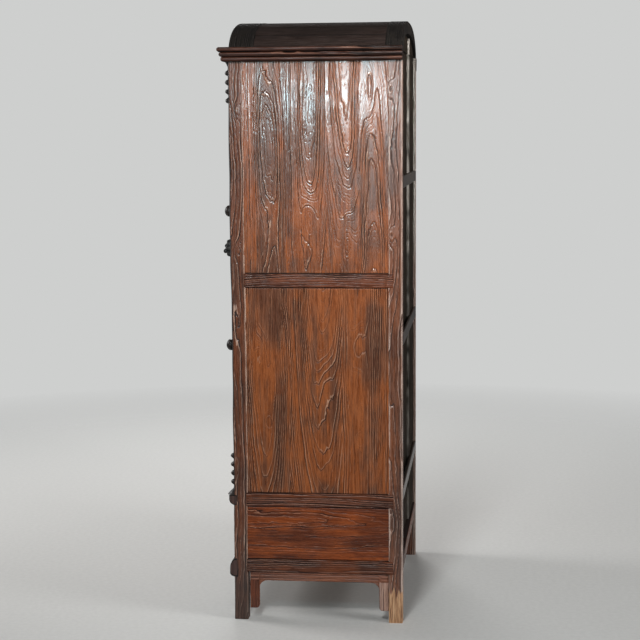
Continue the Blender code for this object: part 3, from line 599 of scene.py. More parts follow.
def planed(name, grain, dark, light, roughness, specular=0.3):
    """Wood planed and left without varnish, with faint grain."""
    material, tree, shader, place = started(name)
    fibre = fibres(tree, place, grain, 120.0, 4.0, 6.0)
    cloud = noise(tree, place, 5.0, 3.0)
    colour = ramp(tree, fibre, (0.32, linear(*dark)), (0.66, linear(*light)))
    colour = mixed(tree, "MULTIPLY", ranged(tree, cloud, 0.40, 0.70, 0.0, 0.6), colour, linear(190, 172, 156))
    join(tree, colour, shader.inputs["Base Color"])
    shader.inputs["Roughness"].default_value = roughness
    shader.inputs["Specular IOR Level"].default_value = specular
    bumped(tree, shader, (0.3, 0.0010, fibre))
    return material


def by_axis(axes, kind, name, *finish, **more):
    """One material of a kind for each axis that its grain follows."""
    return {axis: kind(f"{name}_{axis}", axis, *finish, **more) for axis in axes}


inner_wood = by_axis(AXES, planed, "planed_inner_wood", (92, 70, 52), (138, 108, 80), 0.72)
rail_elm = by_axis(
    "xy", elm, "brushed_elm_rail", ((34, 19, 14), (72, 41, 29), (96, 55, 38), (120, 65, 38), (170, 126, 104)),
    (0.30, 0.48), specular=0.22,
)
inside_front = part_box("post_front_right")[1].y
inside_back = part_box("post_back_right")[0].y
inside_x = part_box("post_front_right")[0].x
case_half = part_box("post_front_right")[1].x
rail_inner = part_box("side_mid_rail_right")[0].x
rail_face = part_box("side_mid_rail_right")[1].x


def lapped(across, along):
    """The rise at both ends of a side rail, where it laps onto the posts."""
    inward = np.minimum(along - inside_front, inside_back - along)
    return LAP_RISE * (1.0 - eased(inward, 0.0, LAP_SLOPE))


for side, hand in ((1, "right"), (-1, "left")):
    for seed, level in enumerate(("mid", "lower", "bottom")):
        low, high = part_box(f"side_{level}_rail_{hand}")
        low.x, high.x = (rail_inner, rail_face) if side > 0 else (-rail_face, -rail_inner)
        low.y, high.y = inside_front - FRONT_LAP, inside_back + BACK_LAP
        log = sawn((low.z - 0.03, 0.055), 101 + 7 * seed + 3 * side, ring=0.0046, wild=0.8)
        rail = board(
            f"elm_side_{level}_rail_{hand}", "+x" if side > 0 else "-x", low, high, "y", [(None, log)],
            RAIL_RELIEF, RAIL_CELLS, [rail_elm["y"], inner_wood["y"]], RAIL_ROLL, lapped,
        )
        settled(rail, "case", "frame_wood", f"side_{level}_rail_{hand}")
    low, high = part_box(f"side_bottom_rail_{hand}")
    runner_x = (low.x, rail_inner) if side > 0 else (-rail_inner, high.x)
    outline = rounded((runner_x[0], high.z - RUNNER_HEIGHT), (runner_x[1], high.z), RUNNER_ROLL)
    runner = bar(
        f"drawer_runner_{hand}", 1, traced(outline, RUNNER_CELLS[0]), (inside_front, inside_back),
        RUNNER_CELLS[1], [inner_wood["y"]],
    )
    settled(runner, "case", "inner_wood")
for seed, level in enumerate(("mid", "lower", "bottom")):
    low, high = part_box(f"front_{level}_rail")
    low.x, high.x = -inside_x - FRONT_LAP / 2, inside_x + FRONT_LAP / 2
    log = sawn((low.z - 0.05, 0.06), 141 + 7 * seed, ring=0.0060, wild=0.5)
    rail = board(
        f"elm_front_{level}_rail", "-y", low, high, "x", [(None, log)],
        RAIL_RELIEF, RAIL_CELLS, [rail_elm["x"], inner_wood["x"]], RAIL_ROLL,
    )
    settled(rail, "case", "frame_wood", f"front_{level}_rail")

# Aprons
# A thin elm board under each bottom rail at the sides and the front. It was sawn with a bracket leg
# down each foot, round at the inner corner and at the toe, and sits a little behind the posts.
APRON_STRIP = 0.027
APRON_LEG = 0.030
APRON_TOE = 0.010
APRON_BEND = 0.026
APRON_ROWS = 34
APRON_STEP = 0.0026
APRON_ROLL = 0.0018
APRON_RELIEF = 0.0008
STRIP_SMOOTH = 0.65
COLUMN_FAN = 0.10
apron_elm = by_axis(
    "xy", elm, "brushed_elm_apron",
    ((50, 31, 25), (116, 73, 57), (142, 91, 71), (146, 88, 60), (172, 130, 110)),
    (0.30, 0.48), specular=0.3,
)
red_leg = elm(
    "bracket_leg_reddish", "z", ((44, 24, 18), (98, 55, 40), (121, 67, 47), (132, 70, 42), (156, 110, 88)),
    (0.30, 0.48), specular=0.3,
)
pale_leg = elm(
    "bracket_leg_bleached", "z",
    ((84, 60, 52), (164, 130, 116), (194, 160, 147), (184, 146, 128), (214, 190, 178)), (0.40, 0.60),
)


def bracketed(name, face, node, seed, back_leg=red_leg):
    """An apron: columns of points from its bracketed lower edge up to its straight top.

    The strip's grain lies. The grain of the two legs stands, each in a wood of its own."""
    normal = AXES.index(face[1])
    length = 1 - normal
    low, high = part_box(node)
    strip = high.z - APRON_STRIP
    toe, bend = APRON_TOE, APRON_BEND
    half = [(low[length], low.z)]
    half += arc((low[length] + APRON_LEG - toe, low.z + toe), (toe, toe), -90, 0, 4)
    half += arc((low[length] + APRON_LEG + bend, strip - bend), (bend, bend), 180, 90, 5)
    turned_over = [(low[length] + high[length] - place, z) for place, z in reversed(half)]
    edge = spaced(half + turned_over, APRON_STEP)
    even = np.linspace(low[length], high[length], len(edge))
    rise = np.linspace(0.0, 1.0, APRON_ROWS)
    head = (1.0 - COLUMN_FAN) * edge[:, 0] + COLUMN_FAN * even
    along = edge[:, :1] + (head - edge[:, 0])[:, None] * rise
    upward = edge[:, 1:] + (high.z - edge[:, 1:]) * rise
    away = np.hypot(along[..., None] - edge[:, 0], upward[..., None] - edge[:, 1]).min(axis=-1)
    rim = np.minimum.reduce([away, high.z - upward, along - low[length], high[length] - along])
    lying_log = sawn((low.z - 0.02, 0.05), seed, ring=0.0052, wild=0.8)
    relief = brushed(upward, 0.0 * upward, along, [(None, lying_log)])
    relief = EVEN + STRIP_SMOOTH * (relief - EVEN)
    middle = (low[length] + high[length]) / 2
    leg = (np.abs(along - middle) > (high[length] - low[length]) / 2 - APRON_LEG) & (upward < strip)
    upright_log = sawn((low[length] - 0.03, 0.03), seed + 3, ring=0.0040, wild=0.7)
    relief = np.where(leg, brushed(along, 0.0 * along, upward, [(None, upright_log)]), relief)
    kinds = np.where(leg, np.where(along < middle, 1, 2), 0)
    height = rolled_back(rim, APRON_ROLL) - APRON_RELIEF * (1.0 - relief)
    face_at, back_at = (high[normal], low[normal]) if face[0] == "+" else (low[normal], high[normal])
    front = np.empty(along.shape + (3,))
    front[..., length] = along
    front[..., 2] = upward
    front[..., normal] = face_at + (height if face[0] == "+" else -height)
    grain = AXES[length]
    woods = [apron_elm[grain], red_leg, back_leg, inner_wood[grain]]
    apron = backed(name, front, normal, back_at, relief, woods, cover_kinds=kinds[:-1, :-1])
    return settled(apron, "case", "frame_wood", node)


bracketed("elm_side_apron_right", "+x", "side_apron_right", 161, pale_leg)
bracketed("elm_side_apron_left", "-x", "side_apron_left", 167)
bracketed("elm_front_apron", "-y", "front_apron", 173)

# Side panels
# Each side is filled by an upper and a middle panel of upright elm boards and a lower panel of one
# lying board. They float by tongues in grooves of the posts and rails and are brushed deepest.
PANEL_CELLS = {"right": (0.0015, 0.0026), "left": (0.0021, 0.0036)}
PANEL_RELIEF = 0.0019
PANEL_ROLL = 0.0010
PANEL_GAP = 0.0004
CORNICE_COVER = 0.004
PANEL_RING = 0.0050
PANEL_BRUSHING = {"upper": 0.85, "middle": 0.76, "lower": 0.80}
panel_elm = by_axis(
    "xz", elm, "brushed_elm_panel",
    ((42, 24, 17), (102, 63, 43), (126, 76, 49), (158, 86, 40), (192, 158, 136)),
    (0.15, 0.33), varnish=0.7,
)
middle_panel_elm = elm(
    "brushed_elm_middle_panel", "z",
    ((44, 26, 18), (100, 61, 42), (128, 79, 53), (154, 86, 44), (190, 152, 126)), (0.24, 0.42), specular=0.28,
)
low_panel_elm = elm(
    "brushed_elm_low_panel", "y", ((38, 19, 13), (92, 47, 29), (122, 63, 37), (150, 75, 34), (168, 120, 94)),
    (0.30, 0.48), specular=0.2,
)


def upright(centre, depth_low, depth_high, ends, seed, eyes=(), wild=1.0):
    """A board whose pith lies behind its middle, at one depth at its foot and another at its head."""
    lean = (depth_high - depth_low) / (ends[1] - ends[0])
    return sawn((centre, depth_low - lean * ends[0]), seed, (0.0, lean), PANEL_RING, wild, eyes)


upper_ends = (1.13, 1.79)
middle_ends = (0.42, 1.08)
upper_right = [
    (-0.078, upright(-0.128, 0.030, 0.030, upper_ends, 201,
                     ((-0.128, 1.790, 0.030, 0.14, 3.5), (-0.130, 1.270, 0.030, 0.14, 3.5)))),
    (0.052, upright(-0.006, 0.060, 0.022, upper_ends, 211, ((-0.004, 1.300, 0.024, 0.075, 3.6),))),
    (0.155, upright(0.110, 0.074, 0.028, upper_ends, 221, ((0.114, 1.225, 0.022, 0.070, 3.0),))),
    (None, upright(0.194, 0.026, 0.060, upper_ends, 231, ((0.188, 1.700, 0.014, 0.075, 4.0),))),
]
middle_right = [
    (-0.070, upright(-0.150, 0.062, 0.028, middle_ends, 241,
                     ((-0.165, 0.860, 0.016, 0.060, 3.0), (-0.140, 0.655, 0.012, 0.028, 1.4),
                      (-0.084, 0.990, 0.012, 0.024, 1.2)), 0.6)),
    (0.098, upright(0.040, 0.090, 0.024, middle_ends, 251,
                    ((0.046, 0.780, 0.026, 0.110, 2.9), (0.040, 0.625, 0.012, 0.032, 0.7),
                     (0.048, 0.495, 0.012, 0.026, 0.8)), 0.6)),
    (None, upright(0.148, 0.044, 0.036, middle_ends, 261,
                   ((0.148, 0.907, 0.026, 0.085, 3.2), (0.156, 0.690, 0.012, 0.026, 1.4),
                    (0.151, 0.600, 0.012, 0.024, 1.4)), 0.6)),
]
upper_left = [
    (-0.060, upright(-0.130, 0.026, 0.060, upper_ends, 301, ((-0.13, 1.40, 0.03, 0.12, 2.5),))),
    (0.095, upright(0.020, 0.064, 0.026, upper_ends, 311, ((0.02, 1.62, 0.03, 0.12, 2.5),))),
    (None, upright(0.170, 0.030, 0.050, upper_ends, 321, ((0.17, 1.30, 0.024, 0.10, 2.0),))),
]
middle_left = [
    (-0.085, upright(-0.150, 0.056, 0.030, middle_ends, 331, ((-0.15, 0.72, 0.03, 0.12, 2.5),))),
    (0.070, upright(-0.010, 0.030, 0.066, middle_ends, 341, ((0.0, 0.88, 0.03, 0.14, 2.5),))),
    (None, upright(0.160, 0.050, 0.030, middle_ends, 351, ((0.16, 0.62, 0.024, 0.11, 2.0),))),
]
lower_right = [(None, sawn((0.330, 0.034), 361, (0.0, 0.04), 0.0080, 1.3, ((0.30, 0.02, 0.02, 0.14, 1.6),)))]
lower_left = [(None, sawn((0.280, 0.024), 371, ring=PANEL_RING, eyes=((0.28, -0.05, 0.02, 0.14, 2.0),)))]
for hand, face, panels in (
    ("right", "+x", {"upper": upper_right, "middle": middle_right, "lower": lower_right}),
    ("left", "-x", {"upper": upper_left, "middle": middle_left, "lower": lower_left}),
):
    openings = {
        "upper": (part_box(f"side_mid_rail_{hand}")[1].z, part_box(f"cornice_{hand}")[0].z + CORNICE_COVER),
        "middle": (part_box(f"side_lower_rail_{hand}")[1].z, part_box(f"side_mid_rail_{hand}")[0].z),
        "lower": (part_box(f"side_bottom_rail_{hand}")[1].z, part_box(f"side_lower_rail_{hand}")[0].z),
    }
    for level, planks in panels.items():
        low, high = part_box(f"side_panel_{level}_{hand}")
        low.z, high.z = openings[level][0] + PANEL_GAP, openings[level][1] - PANEL_GAP
        grain = "y" if level == "lower" else "z"
        wood = {"upper": panel_elm["z"], "middle": middle_panel_elm, "lower": low_panel_elm}[level]
        panel = board(
            f"elm_panel_{level}_{hand}", face, low, high, grain, planks, PANEL_RELIEF, PANEL_CELLS[hand],
            [wood, inner_wood[grain]], PANEL_ROLL, brushing=PANEL_BRUSHING[level],
        )
        settled(panel, "case", "panel_wood", f"side_panel_{level}_{hand}")

# Back
# Two wide sawn boards, never varnished, close the back. The left one laps over the right one, and its
# edge is painted pale as light, brightest up high. Three planed and varnished battens and a bottom rail hold
# them.
BACK_CELLS = (0.0030, 0.0080)
BACK_RELIEF = 0.0012
EDGE_WEAR = 0.0022
RIGHT_BOARD_DROP = 0.003
BATTEN_ROLL = 0.0014
BATTEN_CELLS = (0.0040, 0.020)
BACK_RAIL_CELLS = (0.0025, 0.0060)
back_wood = elm(
    "sawn_back_boards", "z", ((20, 17, 14), (34, 29, 24), (46, 40, 34), (52, 44, 36), (76, 68, 60)),
    (0.72, 0.90), 0.06, PAINTED_LIGHT_WOOD,
)
batten_wood = planed("varnished_batten", "x", (50, 40, 33), (70, 57, 47), 0.30, 0.35)
seam_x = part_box("back_board_left")[1].x


def painted_light_seam(across, along):
    """The left board's edge, painted pale as light, broken here and there and fading lower down."""
    lighter_up_high = 0.35 + 0.65 * eased(along, *PAINTED_LIGHT_HEIGHTS)
    ragged = (0.55 + 0.45 * hills(across, along, 0.01, 0.030, 402)) * lighter_up_high
    return np.clip(1.5 * ragged, 0.0, 1.0) * eased(across, seam_x - EDGE_WEAR, seam_x - 0.4 * EDGE_WEAR)


for seed, hand in ((401, "left"), (411, "right")):
    low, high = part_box(f"back_board_{hand}")
    high.y -= RIGHT_BOARD_DROP if hand == "right" else 0.0
    middle_x = (low.x + high.x) / 2
    log = sawn((middle_x, 0.04), seed, ring=0.0068, eyes=((middle_x, 1.2, 0.05, 0.2, 3.0),))
    plank = board(
        f"sawn_back_board_{hand}", "+y", low, high, "z", [(None, log)], BACK_RELIEF, BACK_CELLS,
        [back_wood, inner_wood["z"]], marks={"second_colours": painted_light_seam} if hand == "left" else None,
    )
    settled(plank, "case", "back_wood", f"back_board_{hand}")
for level in ("upper", "middle", "lower"):
    low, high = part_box(f"back_batten_{level}")
    outline = traced(rounded(low[1:], high[1:], BATTEN_ROLL), BATTEN_CELLS[0])
    batten = bar(f"varnished_batten_{level}", 0, outline, (low.x, high.x), BATTEN_CELLS[1], [batten_wood])
    settled(batten, "case", "back_wood", f"back_batten_{level}")
low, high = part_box("back_bottom_rail")
log = sawn((low.z - 0.03, 0.05), 431, ring=0.0062, wild=0.5)
rail = board(
    "elm_back_bottom_rail", "+y", low, high, "x", [(None, log)], RAIL_RELIEF, BACK_RAIL_CELLS,
    [rail_elm["x"], inner_wood["x"]], RAIL_ROLL,
)
settled(rail, "case", "frame_wood", "back_bottom_rail")

# Shelves
# The middle shelf and the floor over the drawer, planed boards let into the rails. The CAD solids
# have their true shape and stay as they are, with the planed wood's finish.


def finished(node, material):
    """A CAD solid that stays as it is, with a finish of its own."""
    solid = frame["nodes"][node].data
    solid.materials.clear()
    solid.materials.append(material)


finished("mid_shelf", inner_wood["x"])
finished("lower_floor", inner_wood["x"])

# Cornice
# Three stepped reeds run round the front and the sides on a dark reddish rail, mitred at the front
# corners and cut off flush at the back. The reeds' outer crests are worn, their upper slopes carry a painted
# highlight, and painted shade lies in the gaps between them.
REED_REACHES = (0.022, 0.027, 0.033)
REED_ARC = 10
CORNICE_STEP = 0.0042
CORNICE_RELIEF = 0.0004
CORNICE_INSIDE = 0.043
CORNICE_FORWARD = 0.0030
cornice_wood = by_axis(
    "xy", elm, "reeded_cornice", ((15, 8, 6), (40, 23, 17), (58, 33, 24), (76, 41, 28), (122, 82, 64)),
    (0.34, 0.50), specular=0.25,
)
cornice_low, cornice_high = (corner.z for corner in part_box("cornice_front"))
reed_radius = (cornice_high - cornice_low) / len(REED_REACHES) / 2
reeds = [(-CORNICE_INSIDE, cornice_low, 0.3)]
for step, reach in enumerate(REED_REACHES):
    middle = cornice_low + (2 * step + 1) * reed_radius
    for angle in np.linspace(-90, 90, REED_ARC + 1):
        turn = math.radians(angle)
        # On each reed the cosine term is wear on its outer crest, the bump near 38 degrees is a painted
        # highlight on its upper slope, and the low value at its edges is painted shade in the gaps.
        wear = 0.08 + 0.55 * math.cos(turn) ** 1.5 + 0.30 * math.exp(-((angle - 38) / 17) ** 2)
        place = reach - reed_radius + reed_radius * math.cos(turn)
        reeds.append((place, middle + reed_radius * math.sin(turn), wear))
reeds.append((-CORNICE_INSIDE, cornice_high, 0.3))
out, height, wear = np.array(reeds).T
front_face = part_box("post_front_right")[0].y
back_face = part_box("post_back_right")[1].y
cornice_line = front_face - CORNICE_FORWARD
for hand, axis, place, start, stop, pith, seed, way in (
    ("right", 1, case_half + out, cornice_line - out, back_face, 0.36, 451, 1),
    ("left", 1, -case_half - out, cornice_line - out, back_face, -0.36, 461, -1),
    ("front", 0, cornice_line - out, -case_half - out, case_half + out, -0.18, 471, -1),
):
    section = np.stack([place, height], axis=1)[::way]
    ends = [np.broadcast_to(end, len(section))[::way] for end in (start, stop)]
    log = sawn((pith, 1.70), seed, ring=0.0062, wild=0.5)
    cornice = bar(
        f"reeded_cornice_{hand}", axis, section, ends, CORNICE_STEP,
        [cornice_wood[AXES[axis]]], log, CORNICE_RELIEF, crest=wear[::way],
    )
    settled(cornice, "case", "cornice_wood", f"cornice_{hand}")

# Barrel roof
# An arched rib at the front and one at the back carry a shell of staves that run front to back, all
# stained nearly black. Boards close the arch behind the ribs, and the back boards' line runs on there.
ARCH_FULLNESS = 0.8
ROOF_STEP = 0.001
ROOF_THICKNESS = 0.018
RIB_THICKNESS = 0.040
RIB_ROLL = 0.0016
RIB_CELL = 0.0030
ARCH_STEPS = 150
ROOF_RELIEF = 0.0005
SHELL_COLUMNS = 722
SHELL_ROWS = 40
STAVES = 9
STAVE_GROOVE = 0.0009
GABLE_BOARDS = 0.012
SEAM_WIDTH = 0.0030
FILLING_ROWS = 24
TYMPANUM_INSET = 0.032
stave_wood = elm(
    "dark_roof_staves", "y", ((28, 23, 21), (44, 36, 33), (53, 44, 41), (57, 46, 42), (70, 60, 56)),
    (0.72, 0.90), specular=0.08,
)
rib_wood = elm(
    "dark_roof_ribs", "x", ((20, 18, 17), (32, 29, 27), (42, 39, 37), (44, 40, 37), (60, 55, 52)),
    (0.72, 0.90), specular=0.08,
)
roof_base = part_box("front_arch_rib")[0].z
arch_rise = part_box("front_arch_rib")[1].z - cornice_low
arch_centre = cornice_low
shell_front, shell_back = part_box("roof_shell")[0].y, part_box("roof_shell")[1].y


def arch_start(inset):
    """The angle at which the arch, moved in by an inset, leaves the roof's base."""
    return math.asin(((roof_base - arch_centre) / (arch_rise - inset)) ** (1 / ARCH_FULLNESS))


def arched(name, section, seed, material):
    """A piece bent along the arch. Its section holds places from front to back and insets from the arch."""
    section = traced(section, RIB_CELL)
    start = np.array([arch_start(inset) for inset in section[:, 1]])[:, None]
    turn = start + (math.pi - 2 * start) * np.linspace(0.0, 1.0, ARCH_STEPS + 1)
    place = np.broadcast_to(section[:, :1], turn.shape)
    log = sawn((section[:, 0].min() - 0.04, 0.03), seed, ring=0.0060, wild=0.6)
    relief = brushed(place, np.broadcast_to(section[:, 1:], turn.shape), case_half * turn, [(None, log)])
    inset = section[:, 1:] + ROOF_RELIEF * (1.0 - relief) * (section[:, 1:] < RIB_THICKNESS / 2)
    across = -np.copysign(np.abs(np.cos(turn)) ** ARCH_FULLNESS, np.cos(turn))
    upward = np.sin(turn) ** ARCH_FULLNESS
    points = np.stack([
        (case_half - inset) * across, place, arch_centre + (arch_rise - inset) * upward
    ], axis=-1)
    points[..., 2] = np.maximum(points[..., 2], roof_base)
    number = np.arange(turn.size).reshape(turn.shape)
    faces = walled(number[:, :-1], number[:, 1:], 0) + [number[::-1, 0].tolist(), number[:, -1].tolist()]
    return made(name, points.reshape(-1, 3), faces, [material], {"relief": relief, "second_colours": relief * 0.0})


shell_inset = ROOF_STEP + ROOF_THICKNESS
for hand, node, shell_edge, lean, seed, way in (
    ("front", "front_arch_rib", shell_front, HEAD_LEAN, 501, 1),
    ("back", "back_arch_gable", shell_back, 0.0, 511, -1),
):
    outer, inner = [corner.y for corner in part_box(node)][::way]
    outer -= lean
    section = [(outer + way * RIB_ROLL, 0.0), (shell_edge - way * RIB_ROLL, 0.0), (shell_edge, RIB_ROLL)]
    section += [(shell_edge, shell_inset), (inner, shell_inset), (inner, RIB_THICKNESS)]
    section += [(outer, RIB_THICKNESS), (outer, RIB_ROLL)]
    rib = arched(f"dark_{hand}_rib", section[:1] + section[1:][::way], seed, rib_wood)
    settled(rib, "case", "roof_wood", node)


def arch_filling(name, face_y, back_y, inset, log, grain, materials, recess=None, marks=None):
    """Boards under the arch: columns of points from the roof's base up to the arch."""
    half = (case_half - inset) * math.cos(arch_start(inset)) ** ARCH_FULLNESS
    across = np.linspace(-half, half, 2 * ARCH_STEPS + 1)[1:-1, None] * np.ones(FILLING_ROWS)
    turn = np.arccos(np.abs(across / (case_half - inset)) ** (1 / ARCH_FULLNESS))
    crown = arch_centre + (arch_rise - inset) * np.sin(turn) ** ARCH_FULLNESS
    upward = roof_base + (crown - roof_base) * np.linspace(0.0, 1.0, FILLING_ROWS)
    first, along = (across, upward) if grain == "z" else (upward, across)
    relief = brushed(first, 0.0 * across, along, [(None, log)])
    sunk = ROOF_RELIEF * (1.0 - relief)
    if recess is not None:
        sunk = sunk + recess(across)
    front = np.stack([across, face_y + math.copysign(1.0, back_y - face_y) * sunk, upward], axis=-1)
    kept = {label: values(across, upward) for label, values in (marks or {}).items()}
    return backed(name, front, 1, back_y, relief, materials, kept)


def seam_step(across):
    """How much deeper the gable's boards lie right of the back boards' seam."""
    right_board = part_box("back_board_left")[1].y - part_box("back_board_right")[1].y
    return right_board * eased(across, seam_x - SEAM_WIDTH, seam_x)


def painted_light_gable_step(across, along):
    """The step at the seam, painted pale as light, as on the boards below."""
    past_seam = eased(across, seam_x, seam_x + SEAM_WIDTH)
    return eased(across, seam_x - 2 * SEAM_WIDTH, seam_x - SEAM_WIDTH) * (1.0 - past_seam)


low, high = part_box("front_tympanum")
log = sawn((low.z + 0.01, 0.03), 521, ring=0.0062, eyes=((low.z + 0.03, 0.0, 0.02, 0.2, 2.0),))
tympanum = arch_filling(
    "dark_tympanum", low.y, high.y, TYMPANUM_INSET, log, "x", [rib_wood, inner_wood["x"]]
)
settled(tympanum, "case", "roof_wood", "front_tympanum")
gable_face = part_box("back_board_left")[1].y
log = sawn((0.05, 0.05), 531, ring=0.0068)
gable = arch_filling(
    "sawn_gable_boards", gable_face, gable_face - GABLE_BOARDS, RIB_THICKNESS, log, "z",
    [back_wood, inner_wood["z"]], seam_step, {"second_colours": painted_light_gable_step},
)
settled(gable, "case", "back_wood")


def shape_tree(name, **inputs):
    """A new geometry tree, the sockets of its named inputs, and its end that a shape is joined to."""
    tree = bpy.data.node_groups.new(name, "GeometryNodeTree")
    for label, kind in inputs.items():
        tree.interface.new_socket(label.replace("_", " "), in_out="INPUT", socket_type=f"NodeSocket{kind}")
    tree.interface.new_socket("Material", in_out="INPUT", socket_type="NodeSocketMaterial")
    tree.interface.new_socket("Geometry", in_out="OUTPUT", socket_type="NodeSocketGeometry")
    given = tree.nodes.new("NodeGroupInput").outputs
    real = tree.nodes.new("GeometryNodeRealizeInstances")
    plain = real.outputs["Geometry"]
    dressed = add(tree, "GeometryNodeSetMaterial", Geometry=plain, Material=given["Material"])
    tree.links.new(dressed.outputs["Geometry"], tree.nodes.new("NodeGroupOutput").inputs["Geometry"])
    return tree, given, real.inputs["Geometry"]


def shaped(name, tree, **values):
    """An object with the plain mesh that a geometry tree makes of these values."""
    holder = bpy.data.objects.new(name, bpy.data.meshes.new(name))
    bpy.context.scene.collection.objects.link(holder)
    modifier = holder.modifiers.new("shape", "NODES")
    modifier.node_group = tree
    for item in tree.interface.items_tree:
        if item.in_out == "INPUT":
            modifier[item.identifier] = values[item.name.replace(" ", "_")]
    evaluated = holder.evaluated_get(bpy.context.evaluated_depsgraph_get())
    mesh = bpy.data.meshes.new_from_object(evaluated)
    holder.modifiers.clear()
    holder.data = mesh
    mesh.shade_smooth()
    mesh.set_sharp_from_angle(angle=math.radians(SHARP))
    return holder


def worked(tree, operation, *values):
    """One step of arithmetic in a tree."""
    node = tree.nodes.new("ShaderNodeMath")
    node.operation = operation
    for value, socket in zip(values, node.inputs):
        join(tree, value, socket)
    return node.outputs[0]


def marked(tree, geometry, name, value):
    """The geometry with a mark kept on its points."""
    node = tree.nodes.new("GeometryNodeStoreNamedAttribute")
    node.data_type = "FLOAT"
    for label, wanted in (("Geometry", geometry), ("Name", name), ("Value", value)):
        join(tree, wanted, node.inputs[label])
    return node.outputs["Geometry"]


def spot(tree):
    """The three places of each point of a geometry."""
    position = tree.nodes.new("GeometryNodeInputPosition").outputs["Position"]
    return add(tree, "ShaderNodeSeparateXYZ", Vector=position).outputs


def point(tree, x, y, z):
    """A point put together from its three places."""
    return add(tree, "ShaderNodeCombineXYZ", X=x, Y=y, Z=z).outputs["Vector"]


# One grid is rolled into the shell: half of its columns make the outside, half the inside, and its
# first and last rows close the two ends.
tree, given, end = shape_tree(
    "barrel_of_staves", Columns="Int", Rows="Int", Half_Width="Float", Rise="Float", Fullness="Float",
    Centre="Float", Base="Float", Front="Float", Back="Float", Thickness="Float", Staves="Int",
    Groove="Float", Relief="Float", Seed="Float",
)
grid = add(
    tree, "GeometryNodeMeshGrid", Size_X=1.0, Size_Y=1.0,
    Vertices_X=given["Columns"], Vertices_Y=given["Rows"],
).outputs["Mesh"]
place = spot(tree)
lap = worked(tree, "MULTIPLY_ADD", place["X"], 2.0, 1.0)
column = worked(tree, "DIVIDE", 3.0, given["Columns"])
row = worked(tree, "DIVIDE", 1.0, worked(tree, "SUBTRACT", given["Rows"], 1.0))
there_and_back = worked(tree, "PINGPONG", lap, 1.0)
swing = ranged(tree, there_and_back, column, worked(tree, "SUBTRACT", 1.0, column), 0.0, 1.0)
reach = ranged(
    tree, worked(tree, "ADD", place["Y"], 0.5), row, worked(tree, "SUBTRACT", 1.0, row), 0.0, 1.0
)
inside = worked(
    tree, "MULTIPLY", worked(tree, "GREATER_THAN", lap, 1.0001), worked(tree, "LESS_THAN", lap, 1.9999)
)
outside = worked(tree, "SUBTRACT", 1.0, inside)
end_row = worked(tree, "MULTIPLY_ADD", row, -0.5, 0.5)
closing = worked(tree, "GREATER_THAN", worked(tree, "ABSOLUTE", place["Y"]), end_row)
lining = worked(tree, "MULTIPLY", inside, worked(tree, "SUBTRACT", 1.0, closing))
share = worked(tree, "MAXIMUM", lining, worked(tree, "MULTIPLY", closing, 0.5))
stave = worked(tree, "MULTIPLY", swing, given["Staves"])
groove = ranged(tree, worked(tree, "PINGPONG", stave, 0.5), 0.0, 0.05, 1.0, 0.0)
drawn = point(
    tree, worked(tree, "MULTIPLY", swing, 190.0), worked(tree, "MULTIPLY", reach, 5.0),
    worked(tree, "MULTIPLY_ADD", worked(tree, "FLOOR", stave), 7.3, given["Seed"]),
)
grain = noise(tree, drawn, 1.0, 4.0)
sunk = worked(tree, "MULTIPLY_ADD", grain, given["Relief"], worked(tree, "MULTIPLY", groove, given["Groove"]))
inset = worked(
    tree, "ADD", worked(tree, "MULTIPLY", share, given["Thickness"]), worked(tree, "MULTIPLY", sunk, outside)
)
wide = worked(tree, "SUBTRACT", given["Half Width"], inset)
tall = worked(tree, "SUBTRACT", given["Rise"], inset)
drop = worked(tree, "DIVIDE", worked(tree, "SUBTRACT", given["Base"], given["Centre"]), tall)
drop = worked(tree, "POWER", drop, worked(tree, "DIVIDE", 1.0, given["Fullness"]))
first_turn = worked(tree, "ARCSINE", drop)
whole = worked(tree, "MULTIPLY_ADD", first_turn, -2.0, math.pi)
turn = worked(tree, "MULTIPLY_ADD", swing, whole, first_turn)
cosine = worked(tree, "COSINE", turn)
across = worked(tree, "POWER", worked(tree, "ABSOLUTE", cosine), given["Fullness"])
across = worked(tree, "MULTIPLY", across, worked(tree, "SIGN", cosine))
upward = worked(tree, "POWER", worked(tree, "SINE", turn), given["Fullness"])
length = worked(tree, "SUBTRACT", given["Back"], given["Front"])
rolled = point(
    tree, worked(tree, "MULTIPLY", worked(tree, "MULTIPLY", across, wide), -1.0),
    worked(tree, "MULTIPLY_ADD", reach, length, given["Front"]),
    worked(tree, "MULTIPLY_ADD", upward, tall, given["Centre"]),
)
moved = add(tree, "GeometryNodeSetPosition", Position=rolled)
wear = worked(tree, "ADD", grain, 0.08)
wear = worked(tree, "SUBTRACT", wear, worked(tree, "MULTIPLY", groove, 0.6))
tree.links.new(marked(tree, grid, "relief", wear), moved.inputs["Geometry"])
closed = add(tree, "GeometryNodeMergeByDistance", Geometry=moved.outputs["Geometry"], Distance=0.000002)
tree.links.new(closed.outputs["Geometry"], end)
shell = shaped(
    "dark_roof_shell", tree, Columns=SHELL_COLUMNS, Rows=SHELL_ROWS,
    Half_Width=case_half - ROOF_STEP, Rise=arch_rise - ROOF_STEP,
    Fullness=ARCH_FULLNESS, Centre=arch_centre, Base=roof_base, Front=shell_front, Back=shell_back,
    Thickness=ROOF_THICKNESS, Staves=STAVES, Groove=STAVE_GROOVE, Relief=ROOF_RELIEF, Seed=4.0,
    Material=stave_wood,
)
settled(shell, "case", "roof_wood", "roof_shell")

